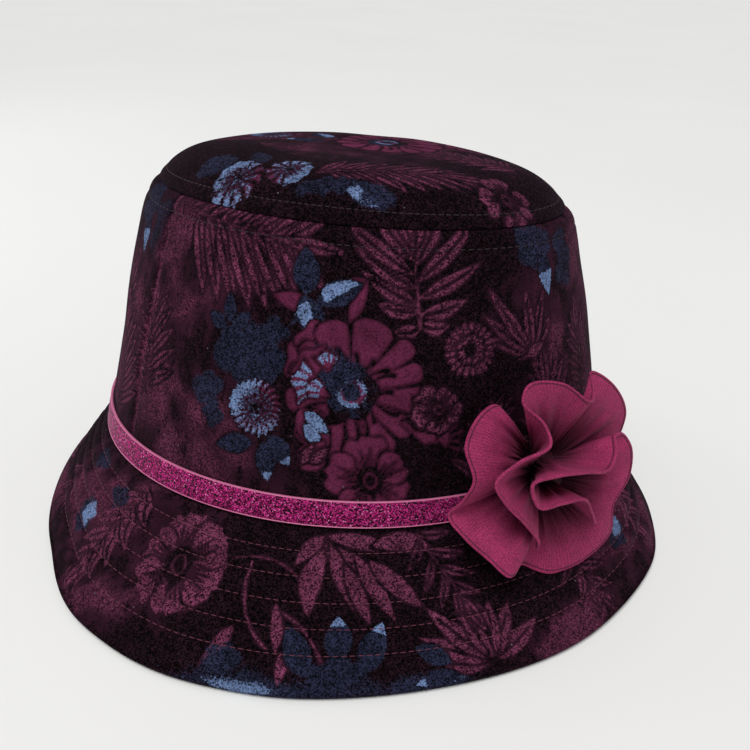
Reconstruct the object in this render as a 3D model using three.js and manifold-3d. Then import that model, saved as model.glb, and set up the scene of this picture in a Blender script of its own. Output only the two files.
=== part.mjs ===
// A velvet bucket hat with a stitched brim, a glitter ribbon and a gathered ribbon rosette.
// Millimetres, +Z up. The brim's edge stands on z = 0 and the hat's front points to +X.
import * as THREE from "three";
import { mergeVertices } from "three/addons/utils/BufferGeometryUtils.js";
import Module from "manifold-3d";

// Driving dimensions

// Oval sections of the hat. turn is the oval's turn about the upright axis in degrees, and a negative
// squareness pulls in the oval's ends and sides and lets its corners out.
const SECTIONS = {
  brimEdge: { halfLength: 134.1, halfWidth: 126.1, turn: 12.6, squareness: -0.02, height: 0 },
  crownBase: { halfLength: 103.8, halfWidth: 84.2, turn: 0, squareness: 0, height: 39.3 },
  tipSeam: { halfLength: 81.7, halfWidth: 63.3, turn: -14.4, squareness: 0, height: 135.3 },
};
// Rise of the tip seam's plane for each millimetre forward and to the left.
const TIP_LEAN = { forward: -0.026, left: -0.078 };
const SEGMENTS = 72;
const SEAM_GAP = 0.3;

const CROWN_WALL = 2.4;
const CROWN_BULGE = 0.8;
// The crown's front and back ends round in under the tip seam, and its two sides go straight up to it.
const SHOULDER = { depth: 3.5, azimuth: 0.7, from: 0.85 };
// Heights of the side's rings, as shares of the way up from the brim's seam.
const SIDE_RINGS_OUTSIDE = [0, 0.1, 0.25, 0.45, 0.66, 0.86, 0.935, 0.98];
const SIDE_RINGS_INSIDE = [0.94, 0.8, 0.5, 0.22, 0];
// Rings of the tip, as shares of the way out from its middle.
const TIP_RINGS_OUTSIDE = [0, 0.4, 0.65, 0.8, 0.89, 0.95, 0.985];
const TIP_RINGS_INSIDE = [0.92, 0.78, 0.5, 0];
const SEAM_LIP = 0.8;
const BACK_SEAM_AZIMUTH = 209;
const BACK_SEAM_HALF_WIDTH = 1.6;
const BACK_SEAM_DEPTH = 1.2;
const TIP_DOME = 14.8;
const TIP_DOME_POWER = 6.8;

const BRIM_WALL = 3;
const BRIM_ROWS = 5;
const BRIM_FIRST_ROW = 0.16;
const BRIM_ROW_PITCH = 0.148;
const LAST_ROW = BRIM_FIRST_ROW + (BRIM_ROWS - 1) * BRIM_ROW_PITCH;
const BRIM_ROW_DEPTH = 0.4;
const BRIM_PUFF = 0.45;
const BRIM_ARCH = 0.8;
// The padded roll outside the last stitched row, fullest between these shares of its width.
const HEM_FULLEST = [0.35, 0.75];
const HEM_PUFF = 1.1;
const HEM_THICKNESS = 4.6;
const HEM_ROUND = 2.2;
const HEM_FOOT = 2.4;
const HEM_INSIDE = 0.55;
const UNDERSIDE_MIDDLE = 0.35;
// Shallow waves of the brim's edge: how far each stands out, and how wide it is, in degrees.
const BRIM_WAVES = [
  { azimuth: 38, out: 1.2, width: 14 },
  { azimuth: 100, out: -0.9, width: 16 },
  { azimuth: 160, out: 0.8, width: 12 },
  { azimuth: 208, out: -0.9, width: 6 },
  { azimuth: 223, out: 1.0, width: 7 },
  { azimuth: 252, out: -0.6, width: 8 },
  { azimuth: 323, out: -0.9, width: 9 },
  { azimuth: 340, out: 1.1, width: 7 },
  { azimuth: 4, out: -1.2, width: 8 },
];

const RIBBON_WIDTH = 10;
const RIBBON_EDGE = 0.7;
const RIBBON_THICKNESS = 1.3;
const SELVEDGE = 1.1;

// The rosette's own frame: its foot on the crown wall, and how far it faces up.
const ROSETTE = { azimuth: 317, up: 0.13, tilt: 22 };
const ROSETTE_WALL = 1.3;
const ROSETTE_CLEARANCE = 1.0;
const RUFFLE_ROWS = 3;
const STEPS_PER_FOLD = 4;
const RUFFLE_BEND = 0.45;
// The gathered root, a flat knot of cloth that the ruffles grow from.
const KNOT = { radius: 10, depth: 3.6, rise: 4.6, down: 3, sides: 16 };
// Folds of the gathered strip, in order along it. clock and reach place the hem round the rosette's
// middle, rise is its height over the foot, rootClock and rootReach place the gathered root below it,
// and swell bows the cloth between the two upward.
const OUTER_TURN = [
  { clock: 133, reach: 20, rise: 9, rootClock: 112, rootReach: 8, swell: 3 },
  { clock: 125, reach: 38, rise: 13, rootClock: 122, rootReach: 9, swell: 6 },
  { clock: 134, reach: 40, rise: 11, rootClock: 130, rootReach: 9, swell: 8 },
  { clock: 150, reach: 40, rise: 10, rootClock: 140, rootReach: 9, swell: 12 },
  { clock: 166, reach: 37, rise: 13, rootClock: 152, rootReach: 9, swell: 10 },
  { clock: 178, reach: 39, rise: 8, rootClock: 164, rootReach: 9, swell: 5 },
  { clock: 184, reach: 42, rise: 4, rootClock: 172, rootReach: 9, swell: 2 },
  { clock: 196, reach: 41, rise: 8, rootClock: 182, rootReach: 9, swell: 3 },
  { clock: 208, reach: 40, rise: 13, rootClock: 196, rootReach: 9, swell: 6 },
  { clock: 221, reach: 40, rise: 16, rootClock: 212, rootReach: 9, swell: 10 },
  { clock: 232, reach: 34, rise: 11, rootClock: 224, rootReach: 9, swell: 8 },
  { clock: 244, reach: 34, rise: 6, rootClock: 236, rootReach: 9, swell: 3 },
  { clock: 262, reach: 37, rise: 8, rootClock: 252, rootReach: 9, swell: 4 },
  { clock: 284, reach: 38, rise: 10, rootClock: 274, rootReach: 9, swell: 8 },
  { clock: 306, reach: 37, rise: 13, rootClock: 296, rootReach: 9, swell: 9 },
  { clock: 322, reach: 35, rise: 11, rootClock: 314, rootReach: 9, swell: 5 },
  { clock: 340, reach: 40, rise: 11, rootClock: 330, rootReach: 9, swell: 5 },
  { clock: 357, reach: 38, rise: 14, rootClock: 346, rootReach: 8, swell: 4 },
  { clock: 369, reach: 34, rise: 15, rootClock: 362, rootReach: 8, swell: 0 },
  { clock: 374, reach: 28, rise: 17, rootClock: 372, rootReach: 7, swell: -4 },
];
const MIDDLE_TURN = [
  { clock: 0, reach: 40, rise: 6, rootClock: 12, rootReach: 8, swell: 2 },
  { clock: 14, reach: 44, rise: 9, rootClock: 24, rootReach: 8, swell: 3 },
  { clock: 34, reach: 42, rise: 12, rootClock: 36, rootReach: 8, swell: 6 },
  { clock: 53, reach: 39, rise: 13, rootClock: 48, rootReach: 8, swell: 8 },
  { clock: 50, reach: 32, rise: 16, rootClock: 58, rootReach: 7, swell: 2 },
  { clock: 61, reach: 27, rise: 21, rootClock: 66, rootReach: 7, swell: 0 },
  { clock: 87, reach: 33, rise: 21, rootClock: 80, rootReach: 7, swell: 4 },
  { clock: 109, reach: 38, rise: 20, rootClock: 98, rootReach: 7, swell: 6 },
  { clock: 117, reach: 35, rise: 20, rootClock: 112, rootReach: 6, swell: 3 },
  { clock: 114, reach: 24, rise: 22, rootClock: 122, rootReach: 6, swell: -2 },
  { clock: 128, reach: 20, rise: 26, rootClock: 134, rootReach: 5, swell: -2 },
  { clock: 151, reach: 28, rise: 24, rootClock: 148, rootReach: 5, swell: 0 },
  { clock: 165, reach: 35, rise: 22, rootClock: 164, rootReach: 5, swell: 3 },
  { clock: 176, reach: 32, rise: 22, rootClock: 182, rootReach: 5, swell: 3 },
  { clock: 198, reach: 26, rise: 22, rootClock: 204, rootReach: 5, swell: 1 },
  { clock: 222, reach: 25, rise: 20, rootClock: 226, rootReach: 6, swell: 0 },
  { clock: 236, reach: 27, rise: 15, rootClock: 240, rootReach: 7, swell: -2 },
];
const INNER_TURN = [
  { clock: 374, reach: 28, rise: 17, rootClock: 372, rootReach: 7, swell: -4 },
  { clock: 366, reach: 23, rise: 21, rootClock: 380, rootReach: 5, swell: -4 },
  { clock: 356, reach: 14, rise: 25, rootClock: 396, rootReach: 4, swell: -3 },
  { clock: 100, reach: 3, rise: 28, rootClock: 432, rootReach: 4, swell: 0 },
  { clock: 156, reach: 14, rise: 28, rootClock: 480, rootReach: 4, swell: 2 },
  { clock: 166, reach: 24, rise: 27, rootClock: 530, rootReach: 4, swell: 3 },
  { clock: 186, reach: 22, rise: 27, rootClock: 570, rootReach: 4, swell: 2 },
  { clock: 202, reach: 12, rise: 27, rootClock: 610, rootReach: 4, swell: 0 },
  { clock: 266, reach: 7, rise: 26, rootClock: 640, rootReach: 4, swell: 0 },
  { clock: 292, reach: 15, rise: 22, rootClock: 655, rootReach: 5, swell: 1 },
  { clock: 299, reach: 26, rise: 16, rootClock: 665, rootReach: 6, swell: 2 },
];

const VELVET = new THREE.MeshStandardMaterial({ color: 0x2a1020, roughness: 0.9, metalness: 0 });
const GLITTER = new THREE.MeshStandardMaterial({ color: 0xa52072, roughness: 0.35, metalness: 0.4 });
const CREPE = new THREE.MeshStandardMaterial({ color: 0x7d1f4c, roughness: 0.75, metalness: 0 });

// Shared geometry

const degrees = THREE.MathUtils.degToRad;

// Radius of an oval section at an azimuth in degrees.
function radiusAt(section, azimuth) {
  const angle = degrees(azimuth - section.turn);
  const alongLength = section.halfWidth * Math.cos(angle);
  const alongWidth = section.halfLength * Math.sin(angle);
  const oval = (section.halfLength * section.halfWidth) / Math.hypot(alongLength, alongWidth);
  return oval * (1 + section.squareness * Math.cos(4 * angle));
}

// How far the waves of the brim's edge stand out at an azimuth.
function waveAt(azimuth) {
  let out = 0;
  for (const wave of BRIM_WAVES) {
    const turned = THREE.MathUtils.euclideanModulo(azimuth - wave.azimuth + 180, 360) - 180;
    out += wave.out * Math.exp(-((turned / wave.width) ** 2));
  }
  return out;
}

function edgeRadius(azimuth) {
  return radiusAt(SECTIONS.brimEdge, azimuth) + waveAt(azimuth);
}

function pointAt(azimuth, radius, height) {
  const angle = degrees(azimuth);
  return new THREE.Vector3(radius * Math.cos(angle), radius * Math.sin(angle), height);
}

// A point of the tip seam's leaning plane, a height above it.
function onTipPlane(azimuth, radius, above) {
  const point = pointAt(azimuth, radius, 0);
  point.z = SECTIONS.tipSeam.height + TIP_LEAN.forward * point.x + TIP_LEAN.left * point.y + above;
  return point;
}

// Azimuths all the way round, with more of them at the upright seam.
function azimuths(withSeam) {
  const list = [];
  const step = 360 / SEGMENTS;
  for (let index = 0; index < SEGMENTS; index += 1) {
    const azimuth = index * step;
    if (!withSeam || Math.abs(azimuth - BACK_SEAM_AZIMUTH) > 2 * BACK_SEAM_HALF_WIDTH) {
      list.push(azimuth);
    }
  }
  if (withSeam) {
    for (const side of [-1, 0, 1]) {
      list.push(BACK_SEAM_AZIMUTH + side * BACK_SEAM_HALF_WIDTH);
    }
  }
  return list.sort((first, second) => first - second);
}

// A closed solid from points and triangles, with its faces pointing out.
function closedSolid(points, triangles) {
  const positions = new Float32Array(points.flatMap((point) => point.toArray()));
  const raw = new THREE.BufferGeometry();
  raw.setAttribute("position", new THREE.BufferAttribute(positions, 3));
  raw.setIndex(triangles.flat());
  const merged = mergeVertices(raw, 1e-4);
  const index = merged.index.array;
  const position = merged.attributes.position;
  const corners = [new THREE.Vector3(), new THREE.Vector3(), new THREE.Vector3()];
  const kept = [];
  let volume = 0;
  for (let first = 0; first < index.length; first += 3) {
    const triangle = [index[first], index[first + 1], index[first + 2]];
    if (new Set(triangle).size === 3) {
      kept.push(triangle);
      triangle.forEach((vertex, corner) => corners[corner].fromBufferAttribute(position, vertex));
      volume += corners[0].dot(corners[1].clone().cross(corners[2]));
    }
  }
  if (volume < 0) {
    kept.forEach((triangle) => triangle.reverse());
  }
  merged.setIndex(kept.flat());
  return merged;
}

// A solid that has the same kind of closed outline at each azimuth.
function ringSolid(azimuthList, outlineAt) {
  const outlines = azimuthList.map(outlineAt);
  const points = outlines.flat();
  const count = outlines[0].length;
  const triangles = [];
  for (let ring = 0; ring < outlines.length; ring += 1) {
    const nextRing = (ring + 1) % outlines.length;
    for (let step = 0; step < count; step += 1) {
      const nextStep = (step + 1) % count;
      const corner = ring * count + step;
      const across = nextRing * count + step;
      const along = ring * count + nextStep;
      const opposite = nextRing * count + nextStep;
      triangles.push([corner, across, opposite], [corner, opposite, along]);
    }
  }
  return closedSolid(points, triangles);
}

// Crown

// How far the crown has rounded in from its straight side at a height fraction.
function shoulderInset(azimuth, fraction) {
  const share = THREE.MathUtils.clamp((fraction - SHOULDER.from) / (1 - SHOULDER.from), 0, 1);
  const depth = SHOULDER.depth * Math.cos(degrees(azimuth - SHOULDER.azimuth)) ** 2;
  return depth * (1 - Math.sqrt(1 - share ** 2));
}

// Radius of the crown's side at a height fraction between the brim seam and the tip seam.
function sideRadius(azimuth, fraction) {
  const low = radiusAt(SECTIONS.crownBase, azimuth);
  const high = radiusAt(SECTIONS.tipSeam, azimuth);
  const bulge = CROWN_BULGE * 4 * fraction * (1 - fraction);
  return THREE.MathUtils.lerp(low, high, fraction) + bulge - shoulderInset(azimuth, fraction);
}

function sidePoint(azimuth, fraction, inset) {
  const high = onTipPlane(azimuth, sideRadius(azimuth, 1), -SEAM_GAP / 2).z;
  const low = SECTIONS.crownBase.height + SEAM_GAP / 2;
  return pointAt(azimuth, sideRadius(azimuth, fraction) - inset, THREE.MathUtils.lerp(low, high, fraction));
}

function crownSide() {
  return ringSolid(azimuths(true), (azimuth) => {
    const seamDip = azimuth === BACK_SEAM_AZIMUTH ? BACK_SEAM_DEPTH : 0;
    const outline = SIDE_RINGS_OUTSIDE.map((fraction) => sidePoint(azimuth, fraction, seamDip));
    outline.push(sidePoint(azimuth, 1, SEAM_LIP), sidePoint(azimuth, 1, CROWN_WALL));
    SIDE_RINGS_INSIDE.forEach((fraction) => outline.push(sidePoint(azimuth, fraction, CROWN_WALL)));
    return outline;
  });
}

// Height of the domed tip over its seam's plane, at a share of the oval's radius.
function domeHeight(share, dome) {
  return dome * (1 - share ** TIP_DOME_POWER);
}

function crownTip() {
  const above = SEAM_GAP / 2;
  const domePoint = (azimuth, radius, share, dome) =>
    onTipPlane(azimuth, radius * share, above + domeHeight(share, dome));
  return ringSolid(azimuths(false), (azimuth) => {
    const seam = sideRadius(azimuth, 1);
    const inner = seam - CROWN_WALL;
    const outline = TIP_RINGS_OUTSIDE.map((share) => domePoint(azimuth, seam, share, TIP_DOME));
    outline.push(onTipPlane(azimuth, seam - SEAM_LIP, above), onTipPlane(azimuth, inner, above));
    const dome = TIP_DOME - CROWN_WALL;
    TIP_RINGS_INSIDE.forEach((share) => outline.push(domePoint(azimuth, inner, share, dome)));
    return outline;
  });
}

// Brim

// A point of the brim at a share of its slant from the seam to the edge, lifted off the straight slant.
function brimPoint(azimuth, share, lift) {
  const inner = radiusAt(SECTIONS.crownBase, azimuth);
  const top = SECTIONS.crownBase.height - SEAM_GAP / 2;
  const out = edgeRadius(azimuth) - inner;
  const slant = Math.hypot(out, top);
  const raised = lift + BRIM_ARCH * 4 * share * (1 - share);
  const radius = inner + out * share + (top / slant) * raised;
  const height = top * (1 - share) + (out / slant) * raised;
  return pointAt(azimuth, radius, height);
}

// Shares and lifts of the quilted top of the brim: down at each stitched row, up between two rows.
function quiltedProfile() {
  const profile = [{ share: 0, lift: 0 }];
  for (let row = 0; row < BRIM_ROWS; row += 1) {
    const share = BRIM_FIRST_ROW + row * BRIM_ROW_PITCH;
    profile.push({ share: share - BRIM_ROW_PITCH / 2, lift: BRIM_PUFF });
    profile.push({ share, lift: -BRIM_ROW_DEPTH });
  }
  for (const share of HEM_FULLEST) {
    profile.push({ share: THREE.MathUtils.lerp(LAST_ROW, 1, share), lift: HEM_PUFF });
  }
  return profile;
}

function brim() {
  const profile = quiltedProfile();
  const hemInside = THREE.MathUtils.lerp(LAST_ROW, 1, HEM_INSIDE);
  return ringSolid(azimuths(false), (azimuth) => {
    const edge = edgeRadius(azimuth);
    const outline = profile.map(({ share, lift }) => brimPoint(azimuth, share, lift));
    outline.push(pointAt(azimuth, edge, HEM_ROUND));
    outline.push(pointAt(azimuth, edge - HEM_ROUND / 2, 0));
    outline.push(pointAt(azimuth, edge - HEM_ROUND / 2 - HEM_FOOT, 0));
    outline.push(brimPoint(azimuth, hemInside, HEM_PUFF - HEM_THICKNESS));
    outline.push(brimPoint(azimuth, LAST_ROW, -BRIM_WALL));
    outline.push(brimPoint(azimuth, UNDERSIDE_MIDDLE, -BRIM_WALL));
    const seamInside = radiusAt(SECTIONS.crownBase, azimuth) - CROWN_WALL;
    outline.push(pointAt(azimuth, seamInside, SECTIONS.crownBase.height - SEAM_GAP / 2));
    return outline;
  });
}

// Ribbon round the foot of the crown

function ribbonBand() {
  const low = SECTIONS.crownBase.height + SEAM_GAP;
  const crownHeight = SECTIONS.tipSeam.height - SECTIONS.crownBase.height;
  const outline = [
    { up: 0, out: 0 },
    { up: 0, out: RIBBON_EDGE },
    { up: SELVEDGE, out: RIBBON_THICKNESS },
    { up: RIBBON_WIDTH - SELVEDGE, out: RIBBON_THICKNESS },
    { up: RIBBON_WIDTH, out: RIBBON_EDGE },
    { up: RIBBON_WIDTH, out: 0 },
  ];
  return ringSolid(azimuths(true), (azimuth) =>
    outline.map(({ up, out }) => {
      const wall = sideRadius(azimuth, up / crownHeight);
      return pointAt(azimuth, wall + SEAM_GAP + out, low + up);
    }),
  );
}

// Rosette

// Placement of the rosette: its foot on the crown's wall, its own Z pointing away from the hat.
function rosettePlacement() {
  const foot = pointAt(ROSETTE.azimuth, sideRadius(ROSETTE.azimuth, ROSETTE.up),
    SECTIONS.crownBase.height + ROSETTE.up * (SECTIONS.tipSeam.height - SECTIONS.crownBase.height));
  const { halfLength, halfWidth } = SECTIONS.crownBase;
  const outward = new THREE.Vector3(foot.x / halfLength ** 2, foot.y / halfWidth ** 2, 0).normalize();
  const right = new THREE.Vector3(0, 0, 1).cross(outward);
  const facing = outward.clone().multiplyScalar(Math.cos(degrees(ROSETTE.tilt)));
  facing.z = Math.sin(degrees(ROSETTE.tilt));
  const up = facing.clone().cross(right);
  return new THREE.Matrix4().makeBasis(right, up, facing).setPosition(foot);
}

// Radius of the hat's outside at an azimuth and a height, with the ribbon round it.
function hatRadius(azimuth, height) {
  const seam = SECTIONS.crownBase.height;
  if (height < seam) {
    const share = 1 - height / seam;
    return THREE.MathUtils.lerp(radiusAt(SECTIONS.crownBase, azimuth), edgeRadius(azimuth), share) + HEM_PUFF;
  }
  const fraction = (height - seam) / (SECTIONS.tipSeam.height - seam);
  const ribbon = height < seam + RIBBON_WIDTH + ROSETTE_CLEARANCE ? SEAM_GAP + RIBBON_THICKNESS : 0;
  return sideRadius(azimuth, fraction) + ribbon;
}

// Moves a point of the rosette out to where it is clear of the hat.
function clearOfHat(point, placement, inverse) {
  const world = point.clone().applyMatrix4(placement);
  const azimuth = THREE.MathUtils.radToDeg(Math.atan2(world.y, world.x));
  const least = hatRadius(azimuth, world.z) + ROSETTE_CLEARANCE + ROSETTE_WALL / 2;
  const radius = Math.hypot(world.x, world.y);
  if (radius < least) {
    world.x *= least / radius;
    world.y *= least / radius;
  }
  return world.applyMatrix4(inverse);
}

// Sheet of cloth between the gathered root and the hem, as a grid of points.
function ruffleGrid(folds, steps, keepClear) {
  const hem = new THREE.CatmullRomCurve3(folds.map(({ clock, reach, rise }) => pointAt(clock, reach, rise)));
  const root = new THREE.CatmullRomCurve3(
    folds.map(({ rootClock, rootReach }) => pointAt(rootClock, rootReach, KNOT.rise)),
  );
  const swell = new THREE.CatmullRomCurve3(folds.map((fold) => new THREE.Vector3(0, 0, fold.swell)));
  const grid = [];
  for (let step = 0; step <= steps; step += 1) {
    const along = step / steps;
    const start = root.getPoint(along);
    const end = hem.getPoint(along);
    const middle = start.clone().lerp(end, RUFFLE_BEND).add(swell.getPoint(along));
    const line = new THREE.QuadraticBezierCurve3(start, middle, end);
    grid.push(line.getPoints(RUFFLE_ROWS).map(keepClear));
  }
  return grid;
}

// Normal of a grid of points at one of them.
function gridNormal(grid, step, row) {
  const before = grid[Math.max(step - 1, 0)][row];
  const after = grid[Math.min(step + 1, grid.length - 1)][row];
  const below = grid[step][Math.max(row - 1, 0)];
  const above = grid[step][Math.min(row + 1, grid[step].length - 1)];
  return after.clone().sub(before).cross(above.clone().sub(below)).normalize();
}

// A grid of points as a solid wall.
function gridWall(grid) {
  const rows = grid[0].length;
  const steps = grid.length;
  const points = [];
  for (const side of [1, -1]) {
    grid.forEach((line, step) => {
      line.forEach((point, row) => {
        points.push(point.clone().addScaledVector(gridNormal(grid, step, row), (side * ROSETTE_WALL) / 2));
      });
    });
  }
  const back = steps * rows;
  const at = (step, row) => step * rows + row;
  const triangles = [];
  for (let step = 0; step + 1 < steps; step += 1) {
    for (let row = 0; row + 1 < rows; row += 1) {
      const [a, b, c, d] = [at(step, row), at(step + 1, row), at(step + 1, row + 1), at(step, row + 1)];
      triangles.push([a, b, c], [a, c, d], [back + a, back + c, back + b], [back + a, back + d, back + c]);
    }
    for (const [row, turned] of [[0, false], [rows - 1, true]]) {
      const [a, b] = turned ? [at(step + 1, row), at(step, row)] : [at(step, row), at(step + 1, row)];
      triangles.push([a, back + a, back + b], [a, back + b, b]);
    }
  }
  for (let row = 0; row + 1 < rows; row += 1) {
    for (const [step, turned] of [[0, true], [steps - 1, false]]) {
      const [a, b] = turned ? [at(step, row + 1), at(step, row)] : [at(step, row), at(step, row + 1)];
      triangles.push([a, back + a, back + b], [a, back + b, b]);
    }
  }
  return closedSolid(points, triangles);
}

const wasm = await Module();
wasm.setup();

function toManifold(geometry) {
  const vertProperties = Float32Array.from(geometry.attributes.position.array);
  const triVerts = Uint32Array.from(geometry.index.array);
  return new wasm.Manifold(new wasm.Mesh({ numProp: 3, vertProperties, triVerts }));
}

function toGeometry(manifold) {
  const mesh = manifold.getMesh();
  const geometry = new THREE.BufferGeometry();
  geometry.setAttribute("position", new THREE.BufferAttribute(Float32Array.from(mesh.vertProperties), 3));
  geometry.setIndex(new THREE.BufferAttribute(Uint32Array.from(mesh.triVerts), 1));
  return geometry;
}

// The outer body of a solid, without small hollows closed inside it.
function outerBody(solid) {
  let largest = null;
  for (const body of solid.decompose()) {
    if (!largest || body.volume() > largest.volume()) {
      largest = body;
    }
  }
  return largest;
}

function rosette(placement) {
  const inverse = placement.clone().invert();
  const keepClear = (point) => clearOfHat(point, placement, inverse);
  const knot = new THREE.SphereGeometry(1, KNOT.sides, KNOT.sides / 2);
  knot.rotateX(Math.PI / 2);
  knot.scale(KNOT.radius, KNOT.radius, KNOT.depth);
  knot.translate(0, -KNOT.down, KNOT.rise);
  knot.deleteAttribute("normal");
  knot.deleteAttribute("uv");
  let solid = toManifold(mergeVertices(knot, 1e-4));
  for (const folds of [OUTER_TURN, MIDDLE_TURN, INNER_TURN]) {
    const steps = STEPS_PER_FOLD * (folds.length - 1);
    solid = solid.add(toManifold(gridWall(ruffleGrid(folds, steps, keepClear))));
  }
  return toGeometry(outerBody(solid));
}

// The hat

const hat = new THREE.Group();

function addPiece(name, geometry, material, parent = hat) {
  const piece = new THREE.Mesh(geometry, material);
  piece.name = name;
  parent.add(piece);
}

addPiece("crown_tip", crownTip(), VELVET);
addPiece("crown_side", crownSide(), VELVET);
addPiece("brim", brim(), VELVET);
addPiece("ribbon_band", ribbonBand(), GLITTER);

const rosetteGroup = new THREE.Group();
const placement = rosettePlacement();
placement.decompose(rosetteGroup.position, rosetteGroup.quaternion, rosetteGroup.scale);
addPiece("rosette", rosette(placement), CREPE, rosetteGroup);
hat.add(rosetteGroup);

// The origin is the middle of the hat's outline, on the surface that it stands on.
const middle = new THREE.Box3().setFromObject(hat).getCenter(new THREE.Vector3());
hat.position.set(-middle.x, -middle.y, 0);

export default hat;
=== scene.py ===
import math

import bmesh
import bpy
import numpy as np
from bpy.props import FloatProperty, FloatVectorProperty, PointerProperty
from mathutils import Matrix, Vector


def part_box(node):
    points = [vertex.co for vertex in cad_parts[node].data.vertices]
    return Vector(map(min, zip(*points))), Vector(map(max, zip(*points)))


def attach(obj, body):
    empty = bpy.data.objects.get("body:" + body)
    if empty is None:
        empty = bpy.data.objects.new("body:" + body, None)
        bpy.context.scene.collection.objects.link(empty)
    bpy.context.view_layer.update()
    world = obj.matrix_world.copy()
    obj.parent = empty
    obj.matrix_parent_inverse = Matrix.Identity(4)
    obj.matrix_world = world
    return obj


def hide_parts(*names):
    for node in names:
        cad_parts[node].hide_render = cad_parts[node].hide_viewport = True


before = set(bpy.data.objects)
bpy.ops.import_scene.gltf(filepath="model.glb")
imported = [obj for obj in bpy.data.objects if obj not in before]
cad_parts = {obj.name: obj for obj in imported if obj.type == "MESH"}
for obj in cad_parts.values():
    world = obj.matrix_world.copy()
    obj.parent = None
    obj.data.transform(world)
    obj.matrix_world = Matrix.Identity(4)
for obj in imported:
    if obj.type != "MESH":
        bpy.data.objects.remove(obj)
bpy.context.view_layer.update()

bl_info = {
    "name": "Velvet bucket hat",
    "version": (1, 0, 0),
    "blender": (4, 5, 0),
    "location": "View3D > Sidebar > Hat",
    "description": "Builds the pieces and materials of a printed velvet bucket hat with a rosette",
    "category": "Object",
}

MM = 0.001


def hex_colour(code):
    """The linear colour of an sRGB hex value, with alpha."""
    values = [int(code[place:place + 2], 16) / 255 for place in (1, 3, 5)]
    linear = [v / 12.92 if v <= 0.04045 else ((v + 0.055) / 1.055) ** 2.4 for v in values]
    return (*linear, 1.0)


# Sizes that the hat shares with its solids

SECTIONS = {
    "brim_edge": dict(half_length=134.1, half_width=126.1, turn=12.6, squareness=-0.02),
    "crown_base": dict(half_length=103.8, half_width=84.2, turn=0.0, squareness=0.0),
    "tip_seam": dict(half_length=81.7, half_width=63.3, turn=-14.4, squareness=0.0),
}
BASE_HEIGHT = 39.3
TIP_HEIGHT = 135.3
SIDE_HEIGHT = TIP_HEIGHT - BASE_HEIGHT
TIP_LEAN = (-0.026, -0.078)
SEAM_GAP = 0.3
CROWN_WALL = 2.4
CROWN_BULGE = 0.8
# The crown's front and back ends round in under the tip seam, and its two sides go straight up to it.
SHOULDER = dict(depth=3.5, azimuth=0.7, start=0.85)
BACK_SEAM = dict(azimuth=209.0, half_width=0.9, depth=1.2)
TIP_DOME = 14.8
TIP_DOME_POWER = 6.8

BRIM_WALL = 3.0
BRIM_ARCH = 0.8
BRIM_ROWS = 5
FIRST_ROW = 0.16
ROW_PITCH = 0.148
LAST_ROW = FIRST_ROW + (BRIM_ROWS - 1) * ROW_PITCH
HEM_ROUND = 2.2
HEM_THICKNESS = 4.6
HEM_PUFF = 1.1
# Shallow waves of the brim's edge, as azimuth, how far each stands out, and its width in degrees.
BRIM_WAVES = [
    (38, 1.2, 14), (100, -0.9, 16), (160, 0.8, 12), (208, -0.9, 6), (223, 1.0, 7),
    (252, -0.6, 8), (323, -0.9, 9), (340, 1.1, 7), (4, -1.2, 8),
]
RIBBON_FOOT = 39.6
RIBBON_WIDTH = 10.0
RIBBON_OFF = 0.3

ROSETTE = dict(azimuth=317.0, up=0.13, tilt=22.0)
KNOT = dict(radius=10.0, depth=3.6, rise=4.6, down=3.0)
# Share of the way from root to hem at which a ruffle's cloth bends, and how far it keeps off the hat.
RUFFLE_BEND = 0.45
CLEARANCE = 1.65
# Folds of the gathered strip, in order along it: clock and reach of the hem, its rise, clock and
# reach of the gathered root, and how far the cloth between them swells upward.
OUTER_TURN = [
    (133, 20, 9, 112, 8, 3), (125, 38, 13, 122, 9, 6), (134, 40, 11, 130, 9, 8),
    (150, 40, 10, 140, 9, 12), (166, 37, 13, 152, 9, 10), (178, 39, 8, 164, 9, 5),
    (184, 42, 4, 172, 9, 2), (196, 41, 8, 182, 9, 3), (208, 40, 13, 196, 9, 6),
    (221, 40, 16, 212, 9, 10), (232, 34, 11, 224, 9, 8), (244, 34, 6, 236, 9, 3),
    (262, 37, 8, 252, 9, 4), (284, 38, 10, 274, 9, 8), (306, 37, 13, 296, 9, 9),
    (322, 35, 11, 314, 9, 5), (340, 40, 11, 330, 9, 5), (357, 38, 14, 346, 8, 4),
    (369, 34, 15, 362, 8, 0), (374, 28, 17, 372, 7, -4),
]
MIDDLE_TURN = [
    (0, 40, 6, 12, 8, 2),
    (14, 44, 9, 24, 8, 3), (34, 42, 12, 36, 8, 6), (53, 39, 13, 48, 8, 8),
    (50, 32, 16, 58, 7, 2), (61, 27, 21, 66, 7, 0), (87, 33, 21, 80, 7, 4),
    (109, 38, 20, 98, 7, 6), (117, 35, 20, 112, 6, 3), (114, 24, 22, 122, 6, -2),
    (128, 20, 26, 134, 5, -2), (151, 28, 24, 148, 5, 0), (165, 35, 22, 164, 5, 3),
    (176, 32, 22, 182, 5, 3), (198, 26, 22, 204, 5, 1), (222, 25, 20, 226, 6, 0),
    (236, 27, 15, 240, 7, -2),
]
INNER_TURN = [
    (374, 28, 17, 372, 7, -4), (366, 23, 21, 380, 5, -4), (356, 14, 25, 396, 4, -3),
    (100, 3, 28, 432, 4, 0), (156, 14, 28, 480, 4, 2), (166, 24, 27, 530, 4, 3),
    (186, 22, 27, 570, 4, 2), (202, 12, 27, 610, 4, 0), (266, 7, 26, 640, 4, 0),
    (292, 15, 22, 655, 5, 1), (299, 26, 16, 665, 6, 2),
]

# Sizes that only the finish has, in mm unless a line says otherwise

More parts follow.
